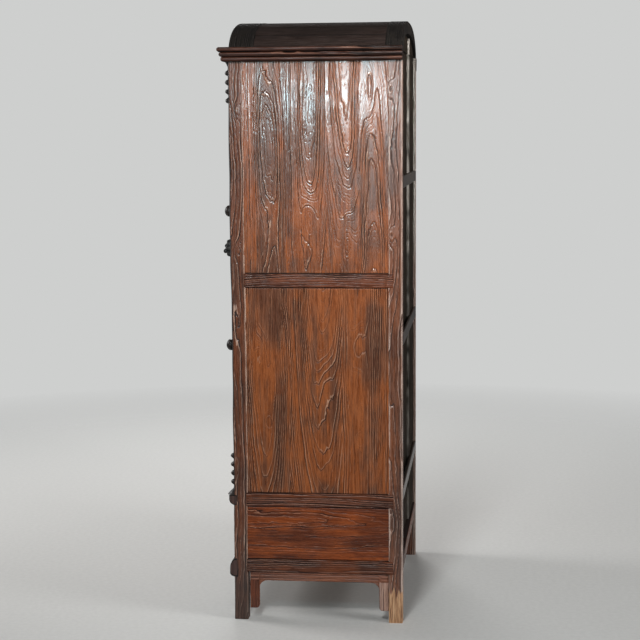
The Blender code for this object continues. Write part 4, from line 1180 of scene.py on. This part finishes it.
# Black turned trim
# On each front post a turned column, split in two, is glued with its flat side to the wood. It shows
# four beads at either end and a flared foot. A lipped quarter-round at the waist and a half-round at
# the base cross the front, all stained black, with the brown wood showing at their sawn ends.
BEAD_RADIUS = 0.0138
BEAD_HEIGHT = 0.017
BEAD_PITCH = 0.0285
BEAD_COUNT = 4
FOOT_BEAD = 0.0405
HEAD_BEAD = 0.034
SHAFT_RADIUS = 0.0064
SHAFT_FLATNESS = 0.70
COLUMN_SEGMENTS = 28
COLUMN_POINTS = 420
SKIRT_HEIGHT = 0.020
SKIRT_SWELL = 2.2
COLUMN_NECK = 0.014
NECK_SWELL = 0.85
MOULDING_LIP = 0.013
MOULDING_ROOT = 0.006
MOULDING_FORWARD = 0.0005
MOULDING_CELLS = (0.0022, 0.0060)
MOULDING_RELIEF = 0.0004
BASE_SHOULDER = 0.45
BASE_KNEE = 0.20
ebonised = by_axis(
    "xz", elm, "ebonised_trim", ((7, 7, 7), (13, 13, 13), (18, 17, 16), (27, 22, 19), (60, 46, 40)),
    (0.36, 0.54), specular=0.35,
)
end_grain = planed("sawn_end_grain", "z", (56, 40, 37), (86, 64, 58), 0.5)

tree, given, end = shape_tree(
    "split_column", X="Float", Face="Float", Foot="Float", Head="Float", Foot_Bead="Float",
    Head_Bead="Float", Pitch="Float", Beads="Int", Bead_Height="Float", Bead_Radius="Float",
    Shaft_Radius="Float", Flatness="Float", Skirt_Height="Float", Skirt_Swell="Float",
    Segments="Int", Points="Int",
)
place = spot(tree)
height = place["Z"]
swells = []
for first, direction in (("Foot Bead", 1.0), ("Head Bead", -1.0)):
    rise = worked(tree, "MULTIPLY", worked(tree, "SUBTRACT", height, given[first]), direction)
    count = worked(tree, "ROUND", worked(tree, "DIVIDE", rise, given["Pitch"]))
    most = worked(tree, "SUBTRACT", given["Beads"], 1.0)
    count = worked(tree, "MINIMUM", worked(tree, "MAXIMUM", count, 0.0), most)
    off = worked(tree, "SUBTRACT", rise, worked(tree, "MULTIPLY", count, given["Pitch"]))
    off = worked(tree, "DIVIDE", off, worked(tree, "MULTIPLY", given["Bead Height"], 0.5))
    off = worked(tree, "MULTIPLY_ADD", off, worked(tree, "MULTIPLY", off, -1.0), 1.0)
    swells.append(worked(tree, "SQRT", worked(tree, "MAXIMUM", off, 0.0)))
swell = worked(tree, "MAXIMUM", *swells)
head_away = worked(tree, "SUBTRACT", given["Head"], height)
swell = worked(tree, "MAXIMUM", swell, ranged(tree, head_away, 0.0, COLUMN_NECK, NECK_SWELL, 0.0))
foot_away = worked(tree, "SUBTRACT", height, given["Foot"])
skirt = ranged(tree, foot_away, 0.0, given["Skirt Height"], given["Skirt Swell"], 0.0)
swell = worked(tree, "MAXIMUM", swell, skirt)
bulge = worked(tree, "SUBTRACT", given["Bead Radius"], given["Shaft Radius"])
radius = worked(tree, "MULTIPLY_ADD", swell, bulge, given["Shaft Radius"])
start = point(tree, given["X"], given["Face"], given["Foot"])
stop = point(tree, given["X"], given["Face"], given["Head"])
line = add(tree, "GeometryNodeCurvePrimitiveLine", Start=start, End=stop).outputs["Curve"]
line = add(tree, "GeometryNodeResampleCurve", Curve=line, Count=given["Points"]).outputs["Curve"]
ring = add(tree, "GeometryNodeCurvePrimitiveCircle", Resolution=given["Segments"], Radius=1.0)
column = add(
    tree, "GeometryNodeCurveToMesh", Curve=line, Profile_Curve=ring.outputs["Curve"], Scale=radius,
    Fill_Caps=True,
).outputs["Mesh"]
full = worked(tree, "MINIMUM", swell, 1.0)
flat = worked(tree, "MULTIPLY_ADD", full, worked(tree, "SUBTRACT", 1.0, given["Flatness"]), given["Flatness"])
out = worked(tree, "MINIMUM", worked(tree, "SUBTRACT", place["Y"], given["Face"]), 0.0)
split = point(tree, place["X"], worked(tree, "MULTIPLY_ADD", out, flat, given["Face"]), height)
column = marked(tree, column, "relief", worked(tree, "MULTIPLY_ADD", full, 0.22, 0.5))
column = add(tree, "GeometryNodeSetPosition", Geometry=column, Position=split)
tree.links.new(column.outputs["Geometry"], end)
waist_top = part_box("waist_moulding")[1].z
for side, hand in ((1, "right"), (-1, "left")):
    low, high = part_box(f"split_column_{hand}")
    column = shaped(
        f"split_column_{hand}_turned", tree, X=(low.x + high.x) / 2, Face=high.y, Foot=low.z, Head=high.z,
        Foot_Bead=waist_top + FOOT_BEAD, Head_Bead=cornice_low - HEAD_BEAD,
        Pitch=BEAD_PITCH, Beads=BEAD_COUNT,
        Bead_Height=BEAD_HEIGHT, Bead_Radius=BEAD_RADIUS, Shaft_Radius=SHAFT_RADIUS, Flatness=SHAFT_FLATNESS,
        Skirt_Height=SKIRT_HEIGHT, Skirt_Swell=SKIRT_SWELL, Segments=COLUMN_SEGMENTS, Points=COLUMN_POINTS,
        Material=ebonised["z"],
    )
    if side > 0:
        points = np.array([vertex.co for vertex in column.data.vertices])
        column.data.vertices.foreach_set("co", np.ravel(points + leaning(points[:, 2])))
    settled(column, "case", "ebonised_wood", f"split_column_{hand}")

low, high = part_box("waist_moulding")
face, reach = high.y, high.y - low.y + MOULDING_FORWARD
lip = high.z - MOULDING_LIP
quarter_round = [(face + MOULDING_ROOT, high.z), (face - reach, high.z)]
quarter_round += arc((face, lip), (-reach, lip - low.z), 0, -90, 14) + [(face + MOULDING_ROOT, low.z)]
low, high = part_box("base_moulding")
shoulder = low.z + BASE_SHOULDER * (high.z - low.z)
knee = low.z + BASE_KNEE * (high.z - low.z)
half_round = [(face + MOULDING_ROOT, high.z)] + arc((face, shoulder), (-reach, high.z - shoulder), 90, 0, 12)
half_round += arc((face, knee), (-reach, knee - low.z), 0, -90, 8) + [(face + MOULDING_ROOT, low.z)]
for level, outline, seed in (("waist", quarter_round, 551), ("base", half_round, 561)):
    low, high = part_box(f"{level}_moulding")
    log = sawn((face + 0.03, low.z), seed, ring=0.006, wild=0.5)
    moulding = bar(
        f"black_{level}_moulding", 0, traced(outline, MOULDING_CELLS[0]), (low.x, high.x), MOULDING_CELLS[1],
        [ebonised["x"], end_grain], log, MOULDING_RELIEF,
    )
    settled(moulding, "case", "ebonised_wood", f"{level}_moulding")

# Doors
# Each door is a mortised elm frame round a panel of three upright boards. Its hinge stile is round
# along its outer edge and turns on two wooden pins that are cut on its ends.
HINGE_RADIUS = 0.012
HINGE_PIN = 0.012
PIN_RADIUS = 0.0058
STILE_ROLL = 0.0020
DOOR_CELLS = (0.0022, 0.0050)
DOOR_RELIEF = 0.0010
DOOR_PANEL_CELLS = (0.0022, 0.0044)
for door_seed, level in ((600, "upper"), (640, "lower")):
    body = f"{level}_door"
    low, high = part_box(f"{level}_door_hinge_stile")
    hinge = (low.x + HINGE_RADIUS, (low.y + high.y) / 2)
    outline = arc(hinge, (HINGE_RADIUS, HINGE_RADIUS), 90, 270, 12) + [(high.x, low.y), (high.x, high.y)]
    log = sawn((low.x - 0.03, low.y + 0.06), door_seed + 1, ring=POST_RING, wild=0.6)
    stile = bar(
        f"elm_{level}_hinge_stile", 2, traced(outline, DOOR_CELLS[0]),
        (low.z + HINGE_PIN, high.z - HINGE_PIN), DOOR_CELLS[1], [post_elm], log, DOOR_RELIEF,
    )
    settled(stile, body, "frame_wood", f"{level}_door_hinge_stile")
    pin = np.array(arc(hinge, (PIN_RADIUS, PIN_RADIUS), 0, 345, 23))
    for place, pin_ends in (("foot", (low.z, low.z + HINGE_PIN)), ("head", (high.z - HINGE_PIN, high.z))):
        pivot = bar(f"{level}_door_pin_{place}", 2, pin, pin_ends, 0.004, [inner_wood["z"]])
        settled(pivot, body, "frame_wood")
    low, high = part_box(f"{level}_door_free_stile")
    log = sawn((high.x + 0.04, low.y + 0.05), door_seed + 9, ring=POST_RING, wild=0.6)
    stile = bar(
        f"elm_{level}_free_stile", 2, traced(rounded(low[:2], high[:2], STILE_ROLL), DOOR_CELLS[0]),
        (low.z, high.z), DOOR_CELLS[1], [post_elm], log, DOOR_RELIEF,
    )
    settled(stile, body, "frame_wood", f"{level}_door_free_stile")
    frame_low, frame_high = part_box(f"{level}_door_hinge_stile")[1].x, low.x
    for seed, edge in enumerate(("bottom", "top")):
        low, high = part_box(f"{level}_door_{edge}_rail")
        log = sawn((low.y + 0.05, low.z - 0.02), door_seed + 15 + 6 * seed, ring=POST_RING, wild=0.5)
        rail = bar(
            f"elm_{level}_door_{edge}_rail", 0, traced(rounded(low[1:], high[1:], STILE_ROLL), DOOR_CELLS[0]),
            (frame_low, frame_high), DOOR_CELLS[1], [rail_elm["x"]], log, DOOR_RELIEF,
        )
        settled(rail, body, "frame_wood", f"{level}_door_{edge}_rail")
    low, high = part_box(f"{level}_door_panel")
    ends = (low.z, high.z)
    planks = []
    for edge, pith, depths, knot, seed in (
        (-0.115, -0.23, (0.030, 0.062), (-0.23, sum(ends) / 2, 0.03, 0.12, 2.5), 27),
        (0.110, 0.00, (0.070, 0.026), (0.01, ends[0] + 0.12, 0.03, 0.10, 2.5), 33),
        (None, 0.22, (0.028, 0.055), (0.22, ends[1] - 0.16, 0.03, 0.12, 2.5), 39),
    ):
        planks.append((edge, upright(pith, *depths, ends, door_seed + seed, (knot,))))
    panel = board(
        f"elm_{level}_door_panel", "-y", low, high, "z", planks, PANEL_RELIEF, DOOR_PANEL_CELLS,
        [panel_elm["z"], inner_wood["z"]], PANEL_ROLL,
    )
    settled(panel, body, "panel_wood", f"{level}_door_panel")

# Knobs
# Turned ball knobs, stained black, with a collar at the foot and a spigot glued into the stile or
# the drawer front. Hands have worn a little brown through the black at the widest place.
KNOB_SEGMENTS = 40
KNOB_SPIGOT = 0.006
KNOB_NECK = 0.0082
KNOB_COLLAR = 0.0112
KNOB_DEPTH = 0.43


def capped(number):
    """Faces round rings of numbered points, closed at the first and the last ring."""
    return walled(number[:-1], number[1:], 1) + [number[0, ::-1].tolist(), number[-1].tolist()]


def turned(name, place, direction, profile, wear, material):
    """A turned piece: its profile holds distances along the direction and radii about it."""
    ahead = Vector(direction).normalized()
    side = ahead.orthogonal().normalized()
    other = ahead.cross(side)
    angles = np.linspace(0.0, 2 * math.pi, KNOB_SEGMENTS, endpoint=False)
    spokes = np.cos(angles)[:, None] * np.array(side) + np.sin(angles)[:, None] * np.array(other)
    points = [np.array(place) + reach * np.array(ahead) + radius * spokes for reach, radius in profile]
    number = np.arange(len(profile) * KNOB_SEGMENTS).reshape(len(profile), KNOB_SEGMENTS)
    relief = np.repeat(wear, KNOB_SEGMENTS)
    return made(name, np.concatenate(points), capped(number), [material], {"relief": relief}, sharp=70)


for body, node in (
    ("upper_door", "upper_door_knob"), ("lower_door", "lower_door_knob"),
    ("drawer", "drawer_knob_right"), ("drawer", "drawer_knob_left"),
):
    low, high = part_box(node)
    ball = (high.x - low.x) / 2
    reach = front_face - low.y
    depth = KNOB_DEPTH * reach
    middle = reach - depth
    profile = [(front_face - high.y, KNOB_SPIGOT), (0.0002, KNOB_SPIGOT), (0.0002, KNOB_COLLAR - 0.0008)]
    profile += [(0.0010, KNOB_COLLAR), (0.0024, KNOB_COLLAR - 0.0004), (0.0032, KNOB_COLLAR - 0.0016)]
    profile += [(0.0040, KNOB_NECK), (0.0052, KNOB_NECK)]
    wear = [0.5, 0.5, 0.4, 0.6, 0.66, 0.5, 0.35, 0.35]
    for angle in np.linspace(-58, 88, 25):
        turn = math.radians(angle)
        groove = 0.0005 * math.exp(-((angle - 50) / 3) ** 2)
        profile.append((middle + depth * math.sin(turn), ball * math.cos(turn) - groove))
        wear.append(0.52 + 0.22 * math.exp(-((angle - 12) / 26) ** 2))
    centre = ((low.x + high.x) / 2, front_face, (low.z + high.z) / 2)
    knob = turned(f"{node}_turned", centre, (0, -1, 0), profile, wear, ebonised["z"])
    settled(knob, body, "ebonised_wood", node)

# Iron drop pull
# An oval rosette of cupped petals is nailed to the upper door's free stile. Two lugs rise from it to a
# pin, and a small turned drop swings on the pin. All is blackened iron, rubbed bright on its crests,
# where the pale grey also stands as painted highlight.
PETALS = 10
PETAL_DEPTH = 0.0011
ROSETTE_CREST = 0.0275
ROSETTE_HOLLOW = 0.0180
CREST_SHARE = 0.70
CUP_SLOPE = 0.20
ROSETTE_RIM = 0.0030
ROSETTE_RINGS = 34
LUG_HALF_GAP = 0.0040
LUG_THICKNESS = 0.0030
LUG_NOSE = 0.0060
LUG_ROOT = 0.0060
LUG_BROW = 0.0170
PULL_PIN_RADIUS = 0.0019
PULL_PIN_REACH = 0.028
PULL_PIN_RISE = 0.007
DROP_LENGTH = 0.017
DROP_LEAN = 0.0043
DROP_RADIUS = 0.0072
iron, tree, shader, place = started("blackened_iron")
scale = noise(tree, place, 180.0, 5.0, 0.65)
rust = noise(tree, place, 60.0, 3.0)
colour = ramp(tree, scale, (0.35, linear(20, 21, 22)), (0.65, linear(42, 43, 43)))
colour = mixed(tree, "MIX", ranged(tree, rust, 0.55, 0.70, 0.0, 0.5), colour, linear(58, 40, 32))
# The crests are painted pale grey, as rubbed wear and as painted highlight.
rubbed = ranged(tree, mark(tree, "relief"), 0.62, 0.95, 0.0, 0.7)
colour = mixed(tree, "MIX", rubbed, colour, linear(104, 102, 98))
join(tree, colour, shader.inputs["Base Color"])
shader.inputs["Metallic"].default_value = 0.75
join(tree, ranged(tree, scale, 0.3, 0.7, 0.38, 0.62), shader.inputs["Roughness"])
bumped(tree, shader, (0.35, 0.0006, scale))

low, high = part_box("pendant_rosette")
centre_x, centre_z = (low.x + high.x) / 2, (low.z + high.z) / 2
half_x, half_z = (high.x - low.x) / 2, (high.z - low.z) / 2
angles = np.linspace(0.0, 2 * math.pi, 8 * PETALS, endpoint=False)
shares = np.concatenate([[0.98, 1.0, 1.0, 0.985], np.linspace(0.955, 0.05, ROSETTE_RINGS)])[:, None]
rises = np.concatenate([[0.0, 0.0004, 0.7 * ROSETTE_RIM, ROSETTE_RIM], np.zeros(ROSETTE_RINGS)])[:, None]
petal = np.abs(np.cos(angles * PETALS / 2)) ** 0.6
outward = np.clip((shares - CREST_SHARE) / (1.0 - CREST_SHARE), 0.0, 1.0)
inward = np.clip(CREST_SHARE - shares, 0.0, 1.0) / CUP_SLOPE
cup = ROSETTE_HOLLOW + (ROSETTE_CREST - ROSETTE_HOLLOW) * np.exp(-inward ** 2)
cup = ROSETTE_RIM + (cup - ROSETTE_RIM) * np.sqrt(1.0 - outward ** 3)
cup = cup - PETAL_DEPTH * (1.0 - petal) * eased(shares, 0.25, 0.5)
rises = np.where(shares > 0.96, rises + 0.0 * angles, cup)
scallop = 1.0 - 0.05 * (1.0 - petal) * eased(shares, 0.6, 0.95)
points = np.stack([
    centre_x + half_x * shares * scallop * np.cos(angles), front_face - rises,
    centre_z + half_z * shares * scallop * np.sin(angles),
], axis=-1)
number = np.arange(points.shape[0] * points.shape[1]).reshape(points.shape[:2])
wear = 0.50 + 0.30 * petal * eased(shares, 0.45, 0.8) + 0.0 * rises
rosette = made("iron_rosette", points.reshape(-1, 3), capped(number), [iron], {"relief": wear}, sharp=60)
settled(rosette, "upper_door", "iron", "pendant_rosette")
pin_y, pin_z = front_face - PULL_PIN_REACH, centre_z + PULL_PIN_RISE
lug = arc((pin_y, pin_z), (LUG_NOSE, LUG_NOSE), 130, 250, 10)
lug += [(front_face - LUG_ROOT, centre_z - 0.45 * half_z), (front_face - LUG_ROOT, centre_z + 0.93 * half_z)]
lug.append((front_face - LUG_BROW, centre_z + 0.93 * half_z))
for side, hand in ((1, "right"), (-1, "left")):
    ends = sorted((centre_x + side * LUG_HALF_GAP, centre_x + side * (LUG_HALF_GAP + LUG_THICKNESS)))
    piece = bar(f"iron_pull_lug_{hand}", 0, traced(lug, 0.0012), ends, 0.001, [iron])
    settled(piece, "upper_door", "iron")
pin = np.array(arc((pin_y, pin_z), (PULL_PIN_RADIUS, PULL_PIN_RADIUS), 0, 340, 17))
pin_reach = LUG_HALF_GAP + LUG_THICKNESS + 0.0008
piece = bar("iron_pull_pin", 0, pin, (centre_x - pin_reach, centre_x + pin_reach), 0.004, [iron], crest=0.8)
settled(piece, "pendant", "iron")
profile = [(-0.0036, 0.0006), (-0.0032, 0.0020), (-0.0020, 0.0030), (0.0, 0.0034), (0.0022, 0.0029)]
profile += [(0.0040, 0.0021), (0.0056, 0.0020), (0.0070, 0.0030), (0.0078, 0.0034), (0.0086, 0.0030)]
wear = [EVEN] * len(profile)
hang = math.hypot(DROP_LENGTH, DROP_LEAN)
for angle in np.linspace(-62, 86, 19):
    turn = math.radians(angle)
    profile.append((hang + DROP_RADIUS * math.sin(turn), DROP_RADIUS * math.cos(turn)))
    wear.append(0.55 + 0.25 * math.exp(-((angle - 20) / 25) ** 2))
drop = turned("iron_drop", (centre_x, pin_y, pin_z), (0, -DROP_LEAN, -DROP_LENGTH), profile, wear, iron)
settled(drop, "pendant", "iron", "pendant_drop")

# Drawer
# One wide drawer under the lower door, its elm front rounded at the edges. The box and its bottom
# keep their CAD solids, planed and never varnished.
DRAWER_CELLS = (0.0018, 0.0040)
DRAWER_ROLL = 0.0030
low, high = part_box("drawer_front")
middle_z = (low.z + high.z) / 2
knots = ((middle_z, -0.12, 0.03, 0.14, 3.0), (middle_z, 0.2, 0.03, 0.12, 2.5))
log = sawn((middle_z, 0.028), 701, ring=PANEL_RING, eyes=knots)
drawer_front = board(
    "elm_drawer_front", "-y", low, high, "x", [(None, log)], PANEL_RELIEF, DRAWER_CELLS,
    [panel_elm["x"], inner_wood["x"]], DRAWER_ROLL,
)
settled(drawer_front, "drawer", "panel_wood", "drawer_front")
finished("drawer_box", inner_wood["y"])
finished("drawer_bottom", inner_wood["x"])

# Floor, light and camera
# A pale studio floor, a soft lamp near the camera with three small cards that show as sheen on the
# varnish, a narrow lamp along the back's edge, one soft lamp for each other side and an even room light.
FLOOR_SIZE = 16.0
FLOOR_CLEAR = 1.2
FLOOR_FADE = 4.5
CAMERA_PLACE = (5.359, 0.5677, 1.563)
CAMERA_YAW, CAMERA_PITCH, CAMERA_ROLL = 6.2535, 6.7134, -0.3633
CAMERA_LENS = 88.7
SHEEN_TINT = (0.66, 0.92, 1.0)
HAZE_TINT = (0.78, 0.95, 1.0)

half_floor = FLOOR_SIZE / 2
floor_corners = [(x * half_floor, y * half_floor, 0) for x, y in ((-1, -1), (1, -1), (1, 1), (-1, 1))]
floor_finish, tree, shader, place = started("pale_studio_floor")
tone = ramp(tree, noise(tree, place, 60.0, 3.0), (0.3, linear(203, 202, 199)), (0.7, linear(209, 208, 205)))
join(tree, tone, shader.inputs["Base Color"])
shader.inputs["Roughness"].default_value = 0.8
distance = tree.nodes.new("ShaderNodeVectorMath")
distance.operation = "LENGTH"
tree.links.new(place, distance.inputs[0])
edge = ranged(tree, distance.outputs["Value"], FLOOR_CLEAR, FLOOR_FADE, 0.0, 1.0)
clear = tree.nodes.new("ShaderNodeBsdfTransparent")
faded = tree.nodes.new("ShaderNodeMixShader")
for socket, value in zip(faded.inputs, (edge, shader.outputs["BSDF"], clear.outputs["BSDF"])):
    tree.links.new(value, socket)
tree.links.new(faded.outputs["Shader"], tree.nodes["Material Output"].inputs["Surface"])
floor = made("studio_floor", floor_corners, [(0, 1, 2, 3)], [floor_finish], {})

world = bpy.data.worlds.new("studio_room")
bpy.context.scene.world = world
world.use_nodes = True
tree = world.node_tree
rays = tree.nodes.new("ShaderNodeLightPath")
room = linear(100, 100, 100)
shade = mixed(tree, "MIX", rays.outputs["Is Camera Ray"], room, linear(206, 207, 206))
join(tree, shade, tree.nodes["Background"].inputs["Color"])


def lamp(name, place, target, width, height, power, spread=180.0, tint=(1.0, 1.0, 1.0)):
    """A soft lamp that faces its target, out of the camera's sight."""
    light = bpy.data.lights.new(name, "AREA")
    light.color = tint
    light.shape = "RECTANGLE"
    light.size = width
    light.size_y = height
    light.energy = power
    light.spread = math.radians(spread)
    lamp_object = bpy.data.objects.new(name, light)
    lamp_object.location = place
    lamp_object.rotation_mode = "QUATERNION"
    lamp_object.rotation_quaternion = (Vector(target) - Vector(place)).to_track_quat("-Z", "Y")
    lamp_object.visible_camera = False
    bpy.context.scene.collection.objects.link(lamp_object)


lamp("side_softbox", (2.95, -0.10, 2.50), (0.44, 0.20, 1.25), 0.45, 0.6, 10.6, 72.0)
lamp("sheen_card_front", (2.95, -0.18, 1.74), (0.44, 0.05, 1.69), 0.12, 0.15, 6.8, tint=SHEEN_TINT)
lamp("sheen_card_back", (2.95, -0.02, 1.79), (0.44, 0.19, 1.72), 0.135, 0.17, 2.1, tint=SHEEN_TINT)
lamp("haze_card", (2.95, 0.04, 1.45), (0.44, 0.10, 1.50), 0.36, 0.80, 2.0, tint=HAZE_TINT)
lamp("back_edge_lamp", (1.5, 2.0, 2.6), (-0.14, 0.28, 1.75), 0.3, 0.3, 1.3, 34.0)
lamp("front_softbox", (-0.8, -3.6, 2.3), (0.0, -0.25, 1.0), 1.4, 1.4, 80.0)
lamp("back_softbox", (1.6, 3.6, 2.3), (0.0, 0.29, 1.0), 1.4, 1.4, 62.0)
lamp("left_softbox", (-3.6, -0.6, 2.3), (-0.44, 0.0, 1.0), 1.4, 1.4, 60.0)

camera = bpy.data.objects.new("camera", bpy.data.cameras.new("camera"))
camera.data.lens = CAMERA_LENS
camera.data.sensor_width = 36.0
yaw, pitch, roll = (math.radians(angle) for angle in (CAMERA_YAW, CAMERA_PITCH, CAMERA_ROLL))
ahead = Vector((-math.cos(yaw) * math.cos(pitch), -math.sin(yaw) * math.cos(pitch), -math.sin(pitch)))
level = ahead.cross(Vector((0, 0, 1))).normalized()
upward = level.cross(ahead)
right = math.cos(roll) * level + math.sin(roll) * upward
above = math.cos(roll) * upward - math.sin(roll) * level
turn = Matrix((right, above, -ahead)).transposed()
camera.matrix_world = Matrix.Translation(CAMERA_PLACE) @ turn.to_4x4()
bpy.context.scene.collection.objects.link(camera)
bpy.context.scene.camera = camera
bpy.context.scene.view_settings.view_transform = "Standard"
